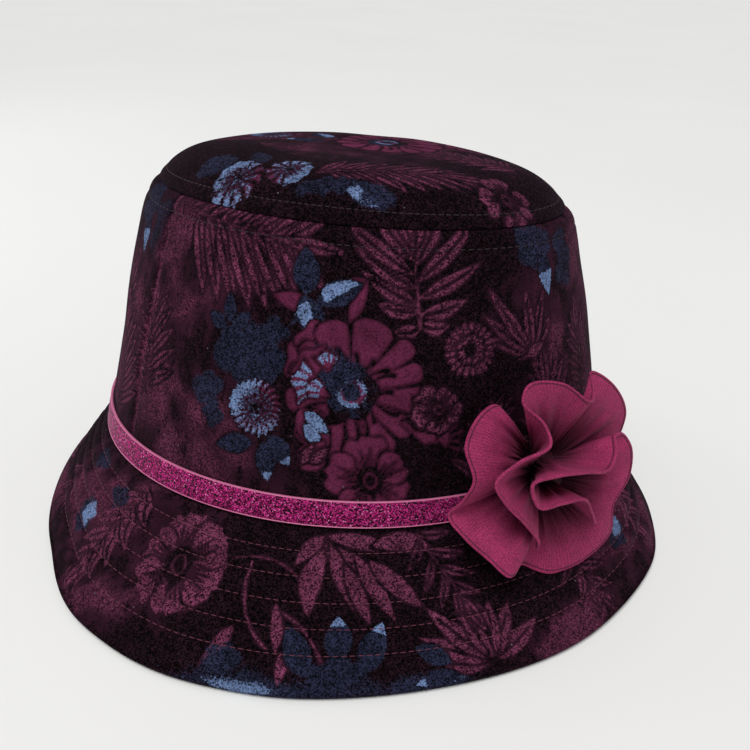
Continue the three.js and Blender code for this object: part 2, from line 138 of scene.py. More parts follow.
# Soft unevenness: pairs of waves round the hat and their height, with the seed of their draw.
SIDE_UNEVEN = dict(sizes=((3, 0.35), (7, 0.22), (13, 0.1)), seed=11)
TIP_UNEVEN = dict(sizes=((2, 0.4), (5, 0.25), (9, 0.12)), seed=21)
QUILT_PUCKER = dict(sizes=((53, 0.07), (91, 0.07), (137, 0.06)), seed=31)
HEM_PUCKER = dict(sizes=((37, 0.08), (61, 0.08)), seed=33)
# Puckers that the upright seam pulls into the side: their width is in degrees.
SEAM_PULL = dict(depth=0.12, puckers=11, width=3.0)
# The crown's panels turn in at their edges and sink along the topstitches, which run beside the seam.
SIDE_TURN_IN = dict(depth=1.3, width=2.2)
TIP_TURN_IN = dict(depth=0.9, width=1.6)
TOPSTITCH_SIDE = 5.4
TOPSTITCH_TIP = 3.6
SIDE_GROOVE = dict(depth=0.45, width=0.8)
TIP_GROOVE = dict(depth=0.4, width=0.8)
# The brim's quilting: how full it is between two rows, how far a row sinks, and how sharply.
QUILT = dict(puff=1.15, sunk=0.55, sharpness=0.6)
# Shares of the brim's slant: where its hem starts to turn, above and below, and a place under it.
HEM_SHARE = 0.94
HEM_INNER_SHARE = 0.888
UNDER_SHARE = 0.35
# The padded hem's roll above the slant, and its underside: mm out from its foot and mm up.
HEM_ROLL = dict(start=-0.45, rise=0.5, turn=0.9, sharpness=0.7)
HEM_UNDERSIDE = ((0.1, 0.35), (-1.3, 0.0), (-2.8, 0.5))

# Threads: radius, and how far they stand up. The topstitches are about 2.8 mm each.
BRIM_THREAD = dict(radius=0.19, rise=0.08)
CROWN_THREAD = dict(radius=0.2, rise=0.05)
HEM_THREAD = dict(radius=0.14, rise=0.06)
TOPSTITCHES = 165
THREAD_SIDES = 5
POINTS_A_STITCH = 6
# A thread dives by this many radii between stitches, and its run is taken over this share of a row.
THREAD_DIVE = 2.2
STITCH_STEP = 1e-4
# Where the topstitches' facing is taken: a share of the side, and a share in from the tip's row.
SIDE_FACING_SHARE = 0.94
TIP_FACING_STEP = 0.02

SATIN_WIDTH = 0.45
# How far the ribbon keeps the rosette off the crown.
RIBBON_STAND = 1.6
# Half the ruffle's thickness, what its folded hem adds, and how far the sewn line pulls it in.
RUFFLE_WALL = 0.42
HEM_FOLD = 0.2
HEM_PINCH = 0.26
HEM_WIDTH = 1.15
# Waves of the gathers at the root and of the longer folds: how many for each fold, and their height.
FINE_GATHERS = ((1.9, 0.5), (3.1, 0.42), (4.7, 0.25))
LONG_GATHERS = ((0.9, 0.5), (1.45, 0.4))
# Length of the curved cloth from root to hem over its straight length.
RUFFLE_CURVE = 1.12
# Lengths that the weave takes for the cloth: its width, and its length for each fold of a turn.
STRIP_WIDTH = 33.0
STRIP_PER_FOLD = 19.0
# From the root to the hem of a ruffle's outline: share of the outline and share across the cloth.
ROOT_EDGE = 0.04
RUFFLE_SHARES = ((0, 0.0), (ROOT_EDGE, 0.0), (0.88, 0.94), (0.97, 0.995), (1, 1))

# Grids of the meshes: columns round the hat and rows over the cloth.
SIDE_GRID = (640, 150)
TIP_GRID = (480, 120)
RIBBON_GRID = (720, 51)
# Shares of a crown panel's rows: where its outside ends, its inside starts and its backing shows.
SIDE_WALL = dict(outside=0.88, inside=0.9, backing=0.895)
TIP_WALL = dict(outside=0.86, inside=0.88, backing=0.875)
# Rounds of the brim's mesh: in all, over its top, up to the first stitched row and from row to row.
BRIM_COLUMNS = 800
BRIM_ROUNDS = 110
TOP_ROUNDS = 77
ROUNDS_TO_FIRST = 13
ROUNDS_A_ROW = 12
# The rosette's turns: name, folds, columns of the mesh, and the seed of its gathers.
RUFFLES = (("outer", OUTER_TURN, 500, 51), ("middle", MIDDLE_TURN, 380, 58), ("inner", INNER_TURN, 260, 65))
RUFFLE_ROWS = 78
# Points nearer than this many metres are sewn together, and edges shorter than this are dropped.
SEWN = 2e-6
SLIVER = 1e-7

# Stage, in metres
FLOOR_RADIUS = 7.0
HAT_MIDDLE = (0, 0, 0.07)
ROOM_LIGHT = 0.34
CEILING_LIGHT = dict(place=(-0.2, -0.5, 1.5), power=2.1, angle=34)
SIDE_LIGHTS = {
    "window_light": dict(place=(-0.9, 0.35, 0.45), size=0.5, power=1.3),
    "room_fill": dict(place=(0.9, -0.5, 0.4), size=0.6, power=0.7),
}
# The camera's turns are in radians, and its focal length is in pixels of the picture.
CAMERA = dict(place=(0.01215, -0.30215, 0.2178), yaw=-0.0108, pitch=-0.4968, roll=0.0349,
              focal_pixels=799.0, picture_pixels=750)
SENSOR_WIDTH = 36.0

# The hat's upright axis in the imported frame, through the middle of the ribbon's oval.
RIBBON_LOW, RIBBON_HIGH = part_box("ribbon_band")
AXIS = np.array([(RIBBON_LOW.x + RIBBON_HIGH.x) / 2, (RIBBON_LOW.y + RIBBON_HIGH.y) / 2, 0.0]) / MM


# Shapes of the hat, for whole arrays of azimuths in degrees

def radius_at(section, azimuth):
    values = SECTIONS[section]
    angle = np.radians(azimuth - values["turn"])
    a, b = values["half_length"], values["half_width"]
    oval = a * b / np.hypot(b * np.cos(angle), a * np.sin(angle))
    return oval * (1 + values["squareness"] * np.cos(4 * angle))


def turned_from(azimuth, middle):
    """Degrees from a middle azimuth, between -180 and 180."""
    return (azimuth - middle + 180) % 360 - 180


def edge_radius(azimuth):
    out = radius_at("brim_edge", azimuth)
    for middle, stand, width in BRIM_WAVES:
        out = out + stand * np.exp(-(turned_from(azimuth, middle) / width) ** 2)
    return out


def around(azimuth, radius, height):
    angle = np.radians(azimuth)
    return np.stack([radius * np.cos(angle), radius * np.sin(angle), height + 0 * angle], -1)


def tip_plane(azimuth, radius, above):
    points = around(azimuth, radius, above)
    points[..., 2] += TIP_HEIGHT + TIP_LEAN[0] * points[..., 0] + TIP_LEAN[1] * points[..., 1]
    return points


def side_radius(azimuth, fraction):
    low, high = radius_at("crown_base", azimuth), radius_at("tip_seam", azimuth)
    share = np.clip((fraction - SHOULDER["start"]) / (1 - SHOULDER["start"]), 0, 1)
    depth = SHOULDER["depth"] * np.cos(np.radians(azimuth - SHOULDER["azimuth"])) ** 2
    straight = low + (high - low) * fraction + CROWN_BULGE * 4 * fraction * (1 - fraction)
    return straight - depth * (1 - np.sqrt(1 - share ** 2))


def side_point(azimuth, fraction, inset):
    high = tip_plane(azimuth, side_radius(azimuth, 1.0), -SEAM_GAP / 2)[..., 2]
    low = BASE_HEIGHT + SEAM_GAP / 2
    return around(azimuth, side_radius(azimuth, fraction) - inset, low + (high - low) * fraction)


def brim_point(azimuth, share, lift):
    inner, top = radius_at("crown_base", azimuth), BASE_HEIGHT - SEAM_GAP / 2
    out = edge_radius(azimuth) - inner
    slant = np.hypot(out, top)
    raised = lift + BRIM_ARCH * 4 * share * (1 - share)
    return around(azimuth, inner + out * share + top / slant * raised,
                  top * (1 - share) + out / slant * raised)


def soft_waves(along, sizes, seed):
    """A soft random wave from a few sines: sizes are pairs of wave count and height."""
    chance = np.random.default_rng(seed)
    total = 0
    for count, height in sizes:
        total = total + height * np.sin(along * count + chance.uniform(0, 2 * math.pi))
    return total


def smooth_step(values, low, high):
    share = np.clip((values - low) / (high - low), 0, 1)
    return share * share * (3 - 2 * share)


# Curves and sheets

def spline(points, along):
    """A centripetal Catmull-Rom curve through points, at shares of its spans from 0 to 1."""
    points = np.asarray(points, float)
    padded = np.vstack([2 * points[0] - points[1], points, 2 * points[-1] - points[-2]])
    place = np.asarray(along) * (len(points) - 1)
    span = np.clip(np.floor(place).astype(int), 0, len(points) - 2)
    share = (place - span)[..., None]
    p = [padded[span + step] for step in range(4)]
    gap = [np.maximum(np.linalg.norm(p[i + 1] - p[i], axis=-1), 1e-9)[..., None] ** 0.5 for i in range(3)]
    start = (p[1] - p[0]) / gap[0] - (p[2] - p[0]) / (gap[0] + gap[1]) + (p[2] - p[1]) / gap[1]
    end = (p[2] - p[1]) / gap[1] - (p[3] - p[1]) / (gap[1] + gap[2]) + (p[3] - p[2]) / gap[2]
    start, end = start * gap[1], end * gap[1]
    square = share * share
    return (p[1] + start * share + (3 * (p[2] - p[1]) - 2 * start - end) * square
            + (2 * (p[1] - p[2]) + start + end) * square * share)


def sheet_mesh(name, columns, rows, place, materials, back_from=None):
    """A mesh from a flat grid that is bent into place and sewn shut where its edges meet.

    place takes the grid's two coordinates, each from 0 to 1, and gives points in mm and a dict of
    vector attributes. back_from is the second coordinate past which the second material shows.
    """
    bm = bmesh.new()
    bmesh.ops.create_grid(bm, x_segments=columns, y_segments=rows, size=0.5)
    mesh = bpy.data.meshes.new(name)
    if back_from is not None:
        for face in bm.faces:
            face.material_index = int(face.calc_center_median().y + 0.5 > back_from)
    bm.to_mesh(mesh)
    flat = np.zeros(len(mesh.vertices) * 3)
    mesh.vertices.foreach_get("co", flat)
    flat = flat.reshape(-1, 3) + 0.5
    points, attributes = place(flat[:, 0], flat[:, 1])
    mesh.vertices.foreach_set("co", ((points + AXIS) * MM).ravel())
    for key, values in attributes.items():
        layer = mesh.attributes.new(key, "FLOAT_VECTOR", "POINT")
        layer.data.foreach_set("vector", np.ascontiguousarray(values, dtype=np.float32).ravel())
    bm.clear()
    bm.from_mesh(mesh)
    return finished_piece(name, mesh, bm, materials)


def finished_piece(name, mesh, bm, materials):
    """Sews a mesh's doubled points, turns its faces outward and links it as a smooth piece."""
    bmesh.ops.remove_doubles(bm, verts=bm.verts, dist=SEWN)
    bmesh.ops.dissolve_degenerate(bm, edges=bm.edges, dist=SLIVER)
    bmesh.ops.recalc_face_normals(bm, faces=bm.faces)
    for face in bm.faces:
        face.smooth = True
    bm.to_mesh(mesh)
    bm.free()
    for material in materials:
        mesh.materials.append(material)
    piece = bpy.data.objects.new(name, mesh)
    bpy.context.scene.collection.objects.link(piece)
    return piece


# The print: how far inside each layer's shapes a point lies, in mm

# Layers from the lowest to the highest, as the velvet shows them, and the attributes that hold them.
LAYERS = ("frond", "wine", "navy", "sky")
PRINT_ATTRIBUTES = {"print_wine": ("wine", "frond"), "print_blue": ("navy", "sky")}
# In mm: how far a motif may reach, the depth where nothing is drawn, and the most that is stored.
MOTIF_REACH = 62
OUTSIDE = -3.0
DEPTH_LIMIT = 2


class Print:
    """The printed layers over one velvet panel.

    across gives mm to the right of a place along the panel, and up is mm up it.
    """

    def __init__(self, across, up):
        self.across = across
        self.up = up
        self.layers = {name: np.full(up.shape, OUTSIDE) for name in LAYERS}

    def stamp(self, motif, along, level, turn, sizes):
        """Draws a motif with its own up direction turned anticlockwise by turn degrees."""
        right, up = self.across(along), self.up - level
        near = np.nonzero(np.hypot(right, up) < MOTIF_REACH)[0]
        if not len(near):
            return
        x, y = turned(right[near], up[near], turn)

        def lay(layer, reach):
            covered = LAYERS if layer == "ground" else LAYERS[LAYERS.index(layer) + 1:]
            for other in covered:
                values = self.layers[other]
                values[near] = np.minimum(values[near], -reach)
            if layer != "ground":
                values = self.layers[layer]
                values[near] = np.maximum(values[near], reach)

        motif(x, y, lay, **sizes)

    def attributes(self):
        """The vector attributes that the velvet reads, with two layers in each."""
        depth = {name: np.clip(values, -DEPTH_LIMIT, DEPTH_LIMIT) for name, values in self.layers.items()}
        return {key: np.stack([depth[first], depth[second], 0 * depth[first]], -1)
                for key, (first, second) in PRINT_ATTRIBUTES.items()}


def leaf_reach(x, y, length, width, fullest=0.45, bend=0.0):
    """Distance inside a pointed leaf that grows up from the origin."""
    share = np.clip(y / length, 0, 1)
    power = math.log(0.5) / math.log(fullest)
    half = 0.5 * width * np.sin(math.pi * share ** power) ** 0.9
    side = half - np.abs(x - bend * 4 * share * (1 - share))
    beyond = -np.hypot(x, np.maximum(-y, y - length))
    return np.where((y > 0) & (y < length), side, beyond)


def turned(x, y, degrees):
    angle = math.radians(degrees)
    return x * math.cos(angle) + y * math.sin(angle), y * math.cos(angle) - x * math.sin(angle)


def leaf(x, y, lay, length, width, tint="navy", tip=None, side=None, bend=0.0, vein=0.0, halo=0.4):
    """A pointed leaf with a dark outline. tip and side say where it turns sky blue."""
    reach = leaf_reach(x, y, length, width, bend=bend)
    lay("ground", reach + halo)
    lay(tint, reach)
    if tip:
        lay("sky", np.minimum(reach, y - tip * length))
    if side:
        patch = np.minimum(reach - 0.2, 0.34 * width - np.abs(x * side - 0.18 * width) - 0.12 * y)
        lay("sky", np.minimum(patch, y - 0.15 * length))
    if vein:
        share = np.clip(y / length, 0, 1)
        line = np.abs(x - bend * 4 * share * (1 - share))
        lay("ground", np.minimum(vein - line, np.minimum(y - 0.1 * length, 0.8 * length - y)))


def fern(x, y, lay, length, pairs, leaflet, width, open_from=62.0, open_to=24.0, bend=0.0):
    """A rib with pointed leaflets on its sides, more upright towards the tip."""
    x = x - bend * np.clip(y / length, 0, 1.2) ** 2
    for pair in range(pairs):
        share = pair / max(pairs - 1, 1)
        for hand in (-1, 1):
            fx, fy = turned(x * hand, y - (0.04 + 0.66 * share + 0.03 * hand) * length,
                            -(open_from + (open_to - open_from) * share))
            size = leaflet * (0.75 + 0.5 * math.sin(math.pi * (0.2 + 0.6 * share)) - 0.25 * share)
            leaf(fx, fy, lay, size, width * (0.7 + 0.02 * size), "frond", bend=-0.9, vein=0.22)
    leaf(x, y - 0.66 * length, lay, 0.42 * length, width, "frond", vein=0.22)
    lay("frond", np.minimum(0.5 - np.abs(x), np.minimum(y, 0.8 * length - y)))


def fan(x, y, lay, leaflets, width, vein=0.25, rib=0.0):
    """Pointed leaflets off an upright rib: rows of mm up the rib, angle from upright and length."""
    for foot, angle, length in leaflets:
        fx, fy = turned(x, y - foot, -angle)
        leaf(fx, fy, lay, length, width, "frond", bend=0.012 * angle, vein=vein)
    if rib:
        lay("frond", np.minimum(0.9 - 0.4 * np.clip(y / rib, 0, 1) - np.abs(x), np.minimum(y, rib - y)))


def drift(x, y, lay, width, height, depth, seed, tint="frond"):
    """A wide mottled area that thins out into the ground."""
    chance = np.random.default_rng(seed)
    uneven = 0
    for size in (17.0, 11.0, 6.0):
        ahead = chance.uniform(0, 2 * math.pi, 3)
        uneven = uneven + 0.16 * np.sin(x / size * 2 + ahead[0] + np.sin(y / size + ahead[1])) * np.sin(
            y / size * 1.6 + ahead[2])
    lay(tint, np.minimum((1 - np.hypot(2 * x / width, 2 * y / height)) * depth + uneven, 0.4))


# Petals of the large flower, anticlockwise from the right: where each ends, and its reach in mm.
BLOOM_PETALS = (
    (-20, 24.5), (8, 25.0), (30, 24.5), (52, 25.5), (92, 25.0), (128, 24.0), (152, 22.0), (178, 21.5),
    (205, 22.5), (236, 23.5), (262, 23.0), (290, 24.0), (315, 24.5), (340, 24.5),
)


def bloom(x, y, lay, radius, slits=17, seed=3):
    """A large open flower: scalloped petals, slits round a dark collar, and a ringed heart."""
    chance = np.random.default_rng(seed)
    scale = radius / 25.0
    x, y = x / scale, y / scale
    rho, theta = np.hypot(x, y), np.arctan2(y, x)
    degrees = (np.degrees(theta) + 20) % 360 - 20
    ends = np.array([end for end, _ in BLOOM_PETALS], dtype=float)
    petal = np.clip(np.searchsorted(ends, degrees), 1, len(ends) - 1)
    low, high = ends[petal - 1], ends[petal]
    reach = np.array([length for _, length in BLOOM_PETALS])[petal]
    middle = np.abs(2 * (degrees - low) / (high - low) - 1)
    rim = reach * (1 - 0.15 * middle ** 3.2)
    cleft = np.radians(np.minimum(degrees - low, high - degrees)) * rho
    nearest = np.where(degrees - low < high - degrees, petal, petal + 1)
    depth = 4.5 + 10 * np.abs(np.sin(nearest * 2.1 + seed))
    gap = 0.75 * np.clip((rho - rim + depth) / depth, 0, 1) ** 1.3 - 0.06
    lay("ground", rim + 0.6 - rho)
    lay("wine", np.minimum(rim - rho, cleft - gap))
    for number in range(slits):
        angle = (number + chance.uniform(-0.2, 0.2)) * 2 * math.pi / slits
        start, end = 8.2, chance.uniform(12.5, 18.0)
        share = np.clip((rho - start) / (end - start), 0, 1)
        width = 0.25 + 0.7 * share ** 1.5
        curl = angle + 0.12 * np.sin(share * 2.2 + number)
        off = np.abs(np.angle(np.exp(1j * (theta - curl)))) * rho
        body = np.minimum(width - off, end - width - rho)
        round_end = width - np.hypot(off, rho - (end - width))
        lay("ground", np.minimum(np.maximum(body, round_end), rho - start))
    lay("ground", 8.9 + 0.7 * np.sin(5 * theta + 1) - rho)
    lay("navy", np.minimum(8.6 - rho, 0.1 + 0.45 * np.sin(theta - 1.7) + 0.2 * np.sin(7 * theta)))
    lay("wine", 4.8 - rho)
    lay("sky", np.minimum(0.8 - np.abs(rho - 4.3), 0.12 + 0.4 * np.sin(2 * theta - 0.6)))
    lay("navy", 2.9 - rho)


def blossom(x, y, lay, radius, petals=5, tint="wine", seed=1, eye=0.14):
    """A flower of a few heart-shaped petals with dark veins from its ringed eye."""
    chance = np.random.default_rng(seed)
    for number in range(petals):
        fx, fy = turned(x, y, number * 360 / petals + chance.uniform(-7, 7))
        size = radius * chance.uniform(0.88, 1.08)
        petal = leaf_reach(fx, fy, size, radius * 0.6, fullest=0.6)
        for hand in (-1, 1):
            lobe = size * 0.29 - np.hypot(fx - hand * size * 0.2, fy - size * 0.66)
            petal = np.maximum(petal, lobe)
        petal = petal + 0.5 * np.sin(1.1 * fx + number) * np.clip(fy / radius, 0, 1)
        lay("ground", petal + 0.45)
        lay(tint, petal)
        for lean, far in ((-0.3, 0.5), (-0.12, 0.72), (0.05, 0.6), (0.2, 0.75), (0.34, 0.46)):
            line = np.abs(fx - lean * fy)
            width = 0.42 - 0.3 * np.clip(fy / (far * radius), 0, 1)
            lay("ground", np.minimum(width - line, np.minimum(fy - 2.2, far * radius - fy)))
    rho = np.hypot(x, 0.8 * y)
    lay("ground", radius * 2 * eye - rho)
    lay(tint, 0.55 - np.abs(rho - radius * eye))


def rays(x, y, lay, radius, count=23, seed=5):
    """A daisy of fine rays in two colours round a speckled core."""
    rho, theta = np.hypot(x, y), np.arctan2(y, x)
    chance = np.random.default_rng(seed)
    rim = radius * (0.95 + 0.05 * np.cos(count * theta) + 0.03 * np.sin(3 * theta + chance.uniform(0, 6)))
    lay("ground", rim + 0.4 - rho)
    stroke = 0.5 * np.sin(count * theta + 0.9 * np.sin(0.7 * rho))
    lay("wine", np.minimum(rim - rho, stroke + 0.25))
    patch = 0.42 * np.sin(theta + chance.uniform(0, 6)) + 0.3 * np.sin(2 * theta + chance.uniform(0, 6))
    lay("sky", np.minimum(np.minimum(rim - rho, rho - 0.5 * radius), 0.7 * stroke + patch - 0.02))
    lay("navy", np.minimum(0.66 * radius - rho, 0.6 * stroke - 0.02))
    lay("sky", np.minimum(0.7 * radius - rho, 0.5 * stroke - 0.34))
    lay("ground", np.minimum(0.16 * radius - rho, 0.3))


def chrysanthemum(x, y, lay, radius, petals=21):
    """Rows of narrow petals round a small hollow eye."""
    rho, theta = np.hypot(x, y), np.arctan2(y, x)
    outer = radius * (0.94 + 0.06 * np.cos(petals * theta) + 0.03 * np.sin(5 * theta))
    lay("frond", np.minimum(outer - rho, 0.45 + 0.5 * np.cos(petals * theta)))
    ring = np.abs(rho - radius * (0.55 + 0.04 * np.cos(9 * theta)))
    lay("ground", np.minimum(0.3 - ring, 0.2))
    lay("ground", radius * 0.22 - rho)


def cloud(x, y, lay, width, height, tint="navy", lumps=7, seed=2):
    """A soft cluster of small petals that read as one patch."""
    chance = np.random.default_rng(seed)
    reach = np.full(x.shape, -9.0)
    for number in range(lumps):
        angle = number * 2 * math.pi / lumps + chance.uniform(-0.3, 0.3)
        cx, cy = 0.3 * width * math.cos(angle), 0.3 * height * math.sin(angle)
        size = 0.24 * min(width, height) * chance.uniform(0.9, 1.3)
        reach = np.maximum(reach, size - np.hypot(x - cx, y - cy))
    core = (1 - np.hypot(x / (0.36 * width), y / (0.36 * height))) * 0.36 * min(width, height)
    lay(tint, np.minimum(np.maximum(reach, core) * 0.5, 0.3))


def bud(x, y, lay, length, width, panels="sky"):
    """A closed flower, with two panels of another colour and a dark gap between them."""
    reach = leaf_reach(x, y, length, width, fullest=0.42)
    lay("ground", reach + 0.5)
    lay("wine", reach)
    for hand, foot in ((-1, 0.12), (1, 0.3)):
        fx, fy = turned(x - hand * 0.12 * width, y - foot * length, -hand * 8)
        panel = leaf_reach(fx, fy, 0.66 * length, 0.4 * width, fullest=0.4)
        lay("ground", panel + 0.5)
        lay(panels, panel)


def shell(x, y, lay, radius, stripes=None, spread=1.15):
    """A small scalloped petal with fine stripes that fan from its foot."""
    rho, theta = np.hypot(x, y), np.arctan2(x, y)
    rim = radius * (0.93 + 0.07 * np.cos(7 * theta))
    reach = np.minimum(rim - rho, (spread - np.abs(theta)) * rho)
    lay("ground", reach + 0.4)
    lay("wine", reach)
    if stripes:
        stroke = 0.5 * np.sin(17 * theta + 0.4 * rho) + 0.05
        lay(stripes, np.minimum(np.minimum(reach - 0.2, rho - 0.5 * radius), stroke))


def stem(x, y, lay, length, rise, width=1.2):
    """A thin bowed stem that runs to the right of its foot."""
    share = np.clip(x / length, 0, 1)
    off = np.abs(y - rise * 4 * share * (1 - share))
    lay("frond", np.minimum(width / 2 - off, np.minimum(x, length - x)))


# Leaflets of the fans: mm up the rib, degrees from upright, and length.
PALM_LEAFLETS = (
    (2, 96, 10), (1, -94, 9), (5, 78, 17), (6, -76, 14), (8, -56, 21), (10, 66, 24), (13, -53, 23),
    (15, 50, 28), (17, -50, 27), (20, 32, 26), (21, -34, 25), (24, 14, 22), (25, -14, 22),
)
CLUSTER_LEAFLETS = (
    (0, -62, 11), (0, 48, 15), (0, -52, 20), (0, 26, 23), (0, -38, 25), (0, 6, 24), (0, -22, 31),
)
SPRAY_LEAFLETS = ((0, -78, 28), (2, -52, 30), (1, -28, 26), (0, 8, 22), (0, 44, 14))
SUNBURST_LEAFLETS = (
    (0, -76, 20), (0, 72, 23), (0, -58, 26), (0, 40, 21), (0, -36, 28), (0, 18, 20), (0, -10, 23),
)

# Motifs of the crown's side: motif, azimuth, mm up from the brim's seam, turn, and sizes.
SIDE_MOTIFS = [
    (drift, 220, 40, 0, dict(width=58, height=92, depth=0.65, seed=3)),
    (drift, 214, 88, -20, dict(width=24, height=36, depth=0.9, seed=4)),
    (drift, 236, 14, 0, dict(width=44, height=30, depth=0.45, seed=5)),
    (drift, 232, 52, 0, dict(width=26, height=20, tint="ground", depth=0.5, seed=6)),
    (fern, 217, 96, -95, dict(length=60, pairs=9, leaflet=26, width=4.6, open_from=62, open_to=40)),
    (fern, 214, 30, 8, dict(length=40, pairs=6, leaflet=15, width=4.2)),
    (drift, 326, 66, 0, dict(width=18, height=70, depth=0.3, seed=9)),
    (fan, 288.5, 68, 4, dict(leaflets=PALM_LEAFLETS, width=5.6, rib=27)),
    (fan, 318, 56, 12, dict(leaflets=CLUSTER_LEAFLETS, width=4.8)),
    (leaf, 316.5, 55, -62, dict(length=9, width=5, tint="frond")),
    (stem, 318.5, 55, -38, dict(length=16, rise=-2)),
    (fern, 302, 14, -14, dict(length=30, pairs=5, leaflet=13, width=4.0, bend=3)),
    (cloud, 244, 55.5, 0, dict(width=29, height=20)),
    (cloud, 250, 64, 0, dict(width=12, height=9, seed=6, lumps=4)),
    (leaf, 237.6, 64.5, 6, dict(length=9.5, width=4.6)),
    (leaf, 236.6, 62.5, 62, dict(length=8, width=5.0)),
    (leaf, 238.4, 62.5, -46, dict(length=9, width=4.6)),
    (cloud, 233.5, 41, 20, dict(width=14, height=10, seed=9, lumps=5)),
    (cloud, 235.5, 33, 0, dict(width=8, height=12, seed=12, lumps=4)),
    (leaf, 260.5, 73.5, 82, dict(length=14, width=6.0, tint="wine")),
    (leaf, 270.5, 69.5, -22, dict(length=15, width=4.6, tint="wine")),
    (leaf, 274.5, 83.5, 120, dict(length=11, width=4.6, tint="wine")),
    (leaf, 258.8, 77.0, 4, dict(length=14.5, width=9.0)),
    (leaf, 261.8, 75.0, -64, dict(length=16, width=8.4, side=-1)),
    (leaf, 257.6, 76.5, 207, dict(length=15.5, width=9.0, side=1, tip=0.84)),
    (leaf, 254.8, 67.0, -42, dict(length=7, width=2.2, tip=0.5)),
    (shell, 262, 55, 58, dict(radius=11)),
    (shell, 263.5, 60, 20, dict(radius=10)),
    (bloom, 271.5, 47.0, 0, dict(radius=25)),
    (drift, 267.5, 53.5, -30, dict(width=17, height=10, tint="navy", depth=0.8, seed=12)),
    (shell, 263.0, 52.5, 42, dict(radius=9)),
    (shell, 265.5, 53.0, 10, dict(radius=7, stripes="sky", spread=0.7)),
    (shell, 264.0, 48.5, 84, dict(radius=10.5, stripes="sky", spread=0.8)),
    (shell, 266.5, 45.0, 66, dict(radius=9, stripes="sky", spread=0.5)),
    (leaf, 258.0, 38.5, 224, dict(length=14, width=11, tint="wine", halo=1.2)),
    (bud, 258.4, 40.0, 224, dict(length=16, width=11)),
    (drift, 268.2, 38.5, 20, dict(width=9, height=4, tint="ground", depth=2.0, seed=14)),
    (rays, 247, 38.4, 0, dict(radius=9.8)),
    (leaf, 247.0, 26.5, 106, dict(length=14.5, width=7)),
    (leaf, 251.0, 29.5, 222, dict(length=12, width=8.4, tip=0.8)),
    (leaf, 249.8, 27.0, 190, dict(length=13.5, width=7.2, tip=0.78)),
    (bud, 259.8, 19.5, -35, dict(length=13, width=10, panels="frond")),
    (blossom, 276.5, 17, 12, dict(radius=15)),
    (shell, 289.5, 29, -20, dict(radius=12, stripes="ground")),
    (shell, 292.5, 31, -75, dict(radius=10, stripes="ground")),
    (blossom, 293, 41, 40, dict(radius=9, tint="frond")),
    (chrysanthemum, 301, 61, 0, dict(radius=9.5)),
    (cloud, 320, 93, 0, dict(width=16, height=14, seed=15, lumps=5)),
    (leaf, 322, 92, 190, dict(length=17, width=6, tip=0.5)),
    (cloud, 331, 86, 0, dict(width=12, height=26, seed=17, lumps=5)),
    (fern, 200, 12, 8, dict(length=44, pairs=7, leaflet=18, width=4.8)),
]
# Mm up the side at the front of the hat, on which the motifs' heights are measured.
PRINT_HEIGHT = 98.4
# How often the print repeats round the hat.
PRINT_REPEATS = 3

